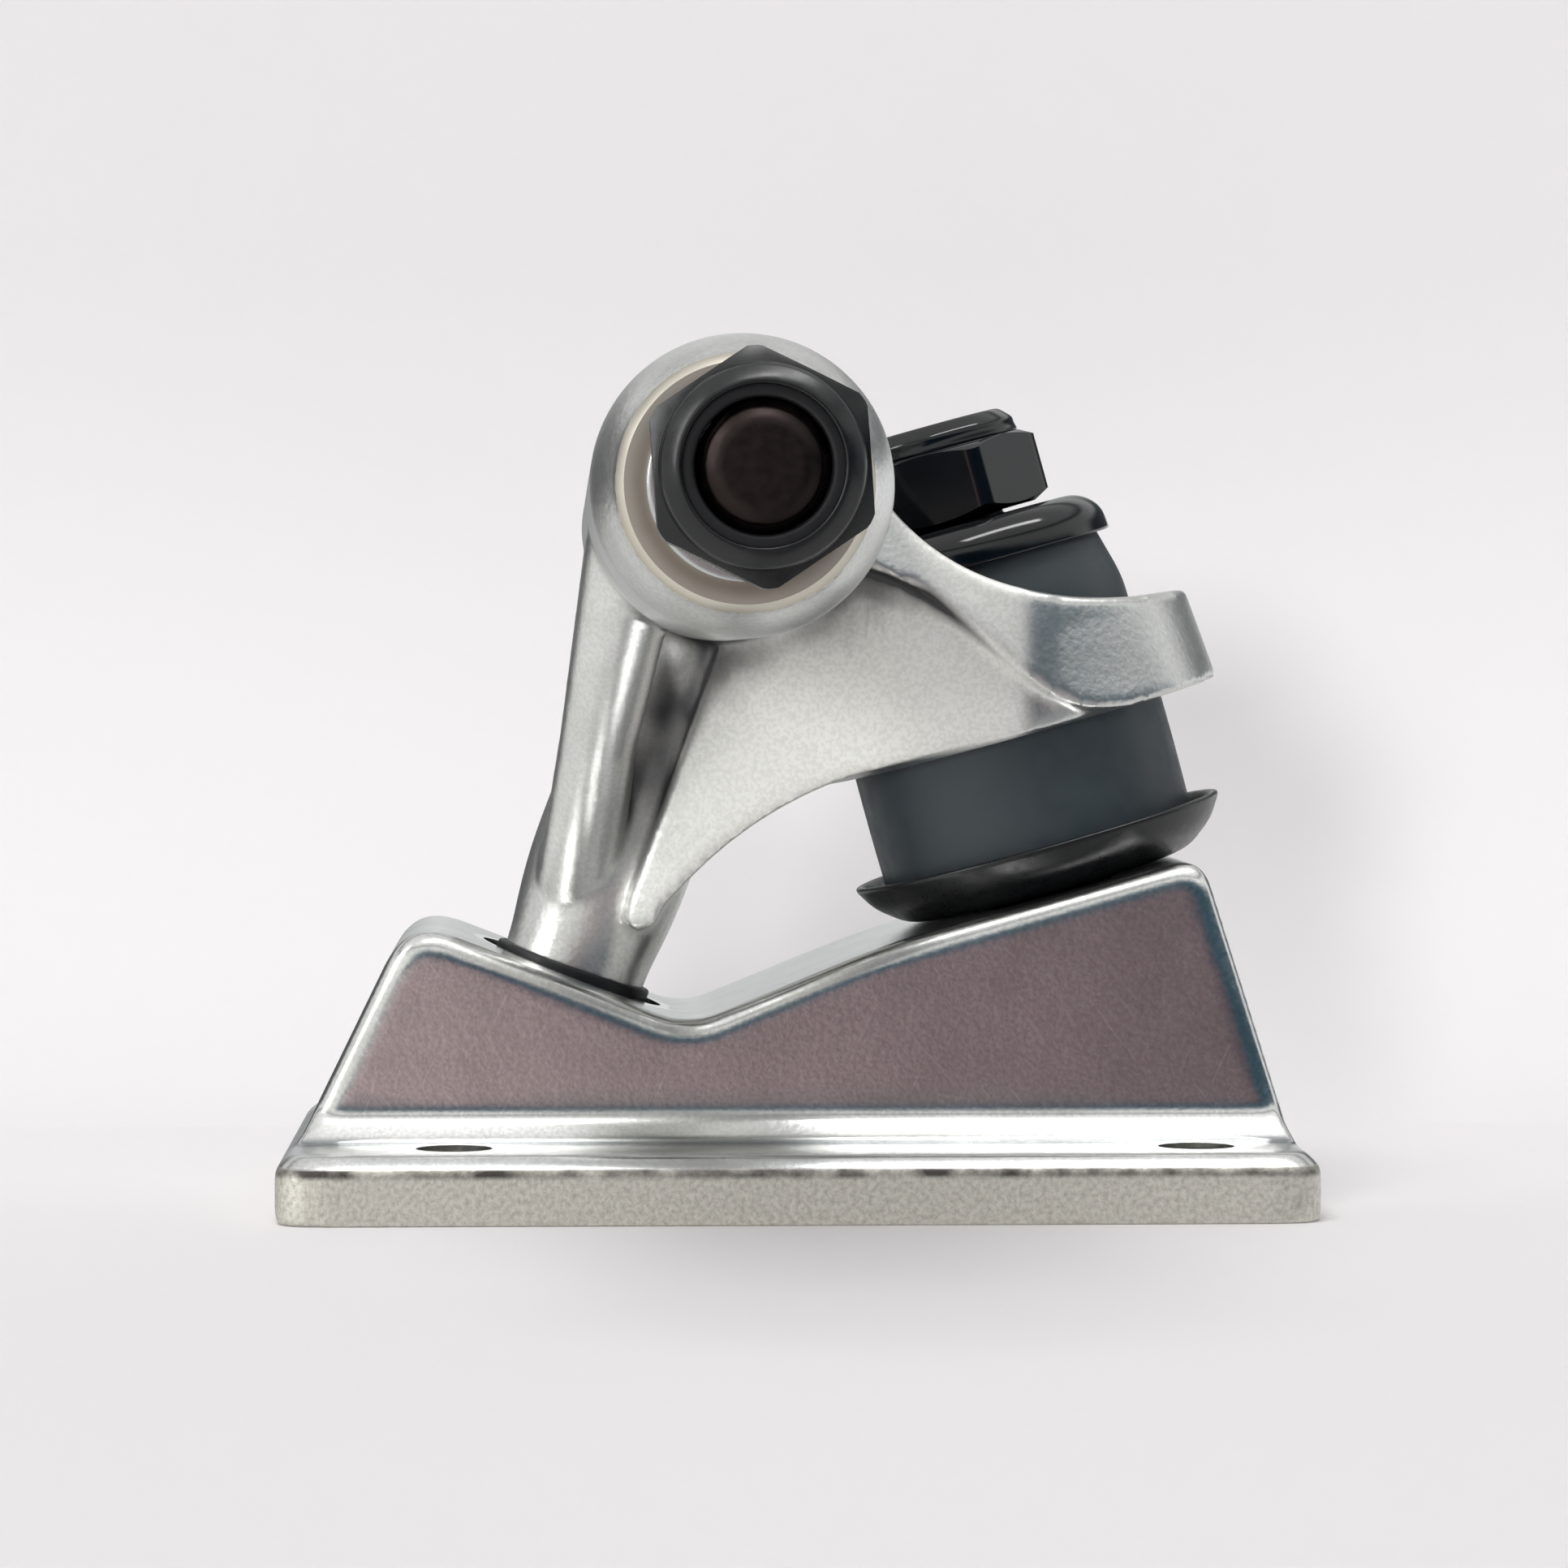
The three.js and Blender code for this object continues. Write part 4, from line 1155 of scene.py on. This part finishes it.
def studio_paper():
    """Matt paper that keeps the truck's shadow. From behind it isn't seen, so that a camera
    behind the backdrop or under the floor still sees the truck."""
    material, tree, shader, place = finish_named("studio_paper")
    tooth = add(tree, "TexNoise", {"Vector": place, "Scale": per_mm(0.5), "Detail": 2})
    bump = add(tree, "Bump", {"Height": tooth, "Strength": 0.05, "Distance": 0.02 * MM})
    join(tree, shader, {
        "Base Color": BACKGROUND, "Roughness": 1, "Specular IOR Level": 0, "Normal": bump,
    })
    behind = add(tree, "NewGeometry", give="Backfacing")
    clear = add(tree, "BsdfTransparent")
    either = add(tree, "MixShader", {0: behind, 1: shader.outputs["BSDF"], 2: clear})
    join(tree, tree.nodes["Material Output"], {"Surface": either})
    return material


def make_camera():
    camera = bpy.data.objects.new("photo_camera", bpy.data.cameras.new("photo_camera"))
    bpy.context.scene.collection.objects.link(camera)
    camera.data.lens = LENS_MM
    camera.data.sensor_width = SENSOR_MM
    camera.data.clip_start = 0.01
    camera.location = CAMERA_PLACE
    camera.rotation_euler = CAMERA_AIM.to_track_quat("-Z", "Y").to_euler()
    bpy.context.scene.camera = camera


def lamp(name, light, place):
    made = bpy.data.objects.new(name, light)
    bpy.context.scene.collection.objects.link(made)
    made.location = Vector(place) * MM
    made.rotation_euler = (LAMP_AIM - made.location).to_track_quat("-Z", "Y").to_euler()
    return made


def far_softbox(name, place, strength, width):
    """A softbox so far off that it lights the whole studio alike; its width is an angle."""
    light = bpy.data.lights.new(name, "SUN")
    light.energy = strength
    light.angle = math.radians(width)
    lamp(name, light, place).visible_glossy = False


def mirrored_strip(name, place, size, power):
    """A strip light that only shows as a reflection."""
    light = bpy.data.lights.new(name, "AREA")
    light.shape = "RECTANGLE"
    light.size, light.size_y = size[0] * MM, size[1] * MM
    light.energy = power
    lamp(name, light, place).visible_diffuse = False


def make_lamps():
    far_softbox("front_softbox", (-240, -900, 150), 1.02, 7)
    far_softbox("top_softbox", (-160, -330, 940), 1.7, 45)
    mirrored_strip("left_strip", (-600, -330, 330), (170, 520), 1.7)
    mirrored_strip("top_strip", (120, -160, 700), (600, 110), 2.2)


def round_about(stops):
    """Colours by bearing in degrees, 0 towards the camera and 90 towards X, as shares of a turn."""
    return [(0.5 + degrees / 360, colour) for degrees, colour in stops]


ROOM_BELOW = round_about([
    (-180, "#9b9d9e"), (-120, "#e9e9e7"), (-20, "#efefec"), (-6, "#aca6a6"), (40, "#8f9296"),
    (70, "#dcdcdb"), (160, "#dcdcdb"), (180, "#9b9d9e"),
])
ROOM_LOW = round_about([
    (-180, "#eaeced"), (-165, "#4a4b4e"), (-128, "#3a3b3e"), (-112, "#f5f5f4"),
    (-70, "#fbfbf8"), (-62, "#b5b5b2"), (-54, "#fbfbf7"), (-22, "#f4f4f0"), (-10, "#ddd0cf"),
    (-3, "#cdb1b1"), (1.5, "#876b6e"), (6, "#6c5054"), (14, "#54464c"), (24, "#374b56"),
    (60, "#3f535e"), (97, "#54656e"), (104, "#f0f2f3"), (165, "#f0f1f2"), (180, "#eaeced"),
])
ROOM_HIGH = round_about([
    (-180, "#d9dbdc"), (-160, "#5b5c5e"), (-125, "#4c4d50"), (-108, "#f8f8f8"),
    (-84, "#77777a"), (-70, "#f9f9f5"), (-20, "#f2f3ef"), (-10, "#0a4358"), (88, "#0e3a4b"),
    (98, "#eceeef"), (112, "#f4f4f4"), (125, "#4c5054"), (165, "#55595c"), (180, "#d9dbdc"),
])

# Overhead the colours go by height, from 0 level to 1 straight up.
ROOM_OVERHEAD = [
    (0.24, "#f7f8f6"), (0.54, "#f7f8f6"), (0.61, "#6d7073"), (0.7, "#f6f6f6"), (1, "#fbfbfb"),
]


def make_surroundings():
    """The room that the metal mirrors: white to the left and above, mauve low in front, blue-grey
    higher in front and to the right, and dark gaps between its panels."""
    world = bpy.data.worlds.new("studio_room")
    bpy.context.scene.world = world
    world.use_nodes = True
    tree = world.node_tree
    towards = add(tree, "TexCoord", give="Generated")
    axes = add(tree, "SeparateXYZ", {"Vector": towards}).node.outputs
    nearer = add(tree, "Math", {0: axes["Y"], 1: -1}, operation="MULTIPLY")
    bearing = add(tree, "Math", {0: axes["X"], 1: nearer}, operation="ARCTAN2")
    share = add(tree, "MapRange", {0: bearing, 1: -math.pi, 2: math.pi})
    bands = []
    for stops in (ROOM_BELOW, ROOM_LOW, ROOM_HIGH, ROOM_OVERHEAD):
        band = add(tree, "ValToRGB", {"Fac": axes["Z"] if stops is ROOM_OVERHEAD else share})
        marks = band.node.color_ramp.elements
        while len(marks) < len(stops):
            marks.new(1)
        for mark, (position, colour) in zip(marks, stops):
            mark.position = position
            mark.color = linear(colour)
        bands.append(band)
    room, low, high, overhead = bands
    rear = add(tree, "MapRange", {0: axes["Y"], 1: 0.05, 2: 0.4, 4: 0.25})
    overhead = add(tree, "Mix", {0: rear, 6: overhead, 7: "#74777a"}, **MIXED)
    for band, start, end in ((low, -0.16, -0.04), (high, 0.085, 0.12), (overhead, 0.28, 0.42)):
        rise = add(tree, "MapRange", {0: axes["Z"], 1: start, 2: end}, **SMOOTH)
        room = add(tree, "Mix", {0: rise, 6: room, 7: band}, **MIXED)
    ray = add(tree, "LightPath").node.outputs
    glow = add(tree, "Background", {"Color": "#f3f2f2", "Strength": 0.22})
    panels = add(tree, "Background", {"Color": room, "Strength": 1})
    pale = add(tree, "Background", {"Color": BACKGROUND, "Strength": 1})
    lit = add(tree, "MixShader", {0: ray["Is Glossy Ray"], 1: glow, 2: panels})
    shown = add(tree, "MixShader", {0: ray["Is Camera Ray"], 1: lit, 2: pale})
    join(tree, tree.nodes["World Output"], {"Surface": shown})


def build():
    plate_metal = cast_aluminium("tumbled_cast_aluminium_raw_rim", gloss=0.2, grain_depth=0.3,
                                 ripple_depth=0.12, raw_below=4.2)
    hanger_metal = cast_aluminium("tumbled_cast_aluminium", gloss=0.31, grain_depth=0.8,
                                  ripple_depth=0.4)
    turned = turned_aluminium()
    # Lacquer over steel: a black that mirrors the room's white panels sharply.
    enamel = plain_finish("black_lacquered_steel", "#07080a", "#101216", 0.1, 1.2, depth=0.01)
    # Steel blackened in a hot bath: as dark, with a soft sheen.
    oxide = plain_finish("black_oxide_steel", "#07080a", "#0f1114", 0.3, 0.8, depth=0.02)
    # Turned and rolled steel, left oiled: a brownish metal with dull highlights.
    dark_steel = plain_finish("oiled_dark_steel", "#2b2524", "#3b3332", 0.42, 0.8, 1.0)
    # Stamped steel with bright zinc on it: a pale, slightly blue metal.
    zinc = plain_finish("bright_zinc_steel", "#b9bbbd", "#cfd0d2", 0.25, 0.6, 1.0)
    # Poured urethane: a slate grey with the mould's satin on it.
    urethane = plain_finish("slate_urethane", "#30383d", "#3b4449", 0.45, 1.5)
    # Moulded nylon: a satin near-black.
    nylon = plain_finish("black_nylon", "#0e0f11", "#17181b", 0.45, 0.8)
    make_baseplate([plate_metal])
    make_hanger([hanger_metal, turned])
    make_pivot_cup([nylon])
    make_kingpin([dark_steel])
    make_lower_cup_washer([oxide])
    make_lower_bushing([urethane])
    make_upper_bushing([urethane])
    make_upper_cup_washer([enamel])
    make_kingpin_nut([enamel], [nylon])
    make_axle([dark_steel])
    for name, side in SIDES:
        make_axle_end(name, side, [zinc], [oxide], [nylon])


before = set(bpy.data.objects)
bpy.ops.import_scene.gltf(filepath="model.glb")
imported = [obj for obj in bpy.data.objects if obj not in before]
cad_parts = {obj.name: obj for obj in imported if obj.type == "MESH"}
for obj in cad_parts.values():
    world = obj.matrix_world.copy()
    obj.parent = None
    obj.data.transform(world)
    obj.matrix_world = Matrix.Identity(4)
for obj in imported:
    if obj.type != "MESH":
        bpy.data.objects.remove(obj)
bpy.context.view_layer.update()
build()
make_studio()
make_surroundings()
make_lamps()
bpy.context.scene.view_settings.view_transform = "Standard"
make_camera()
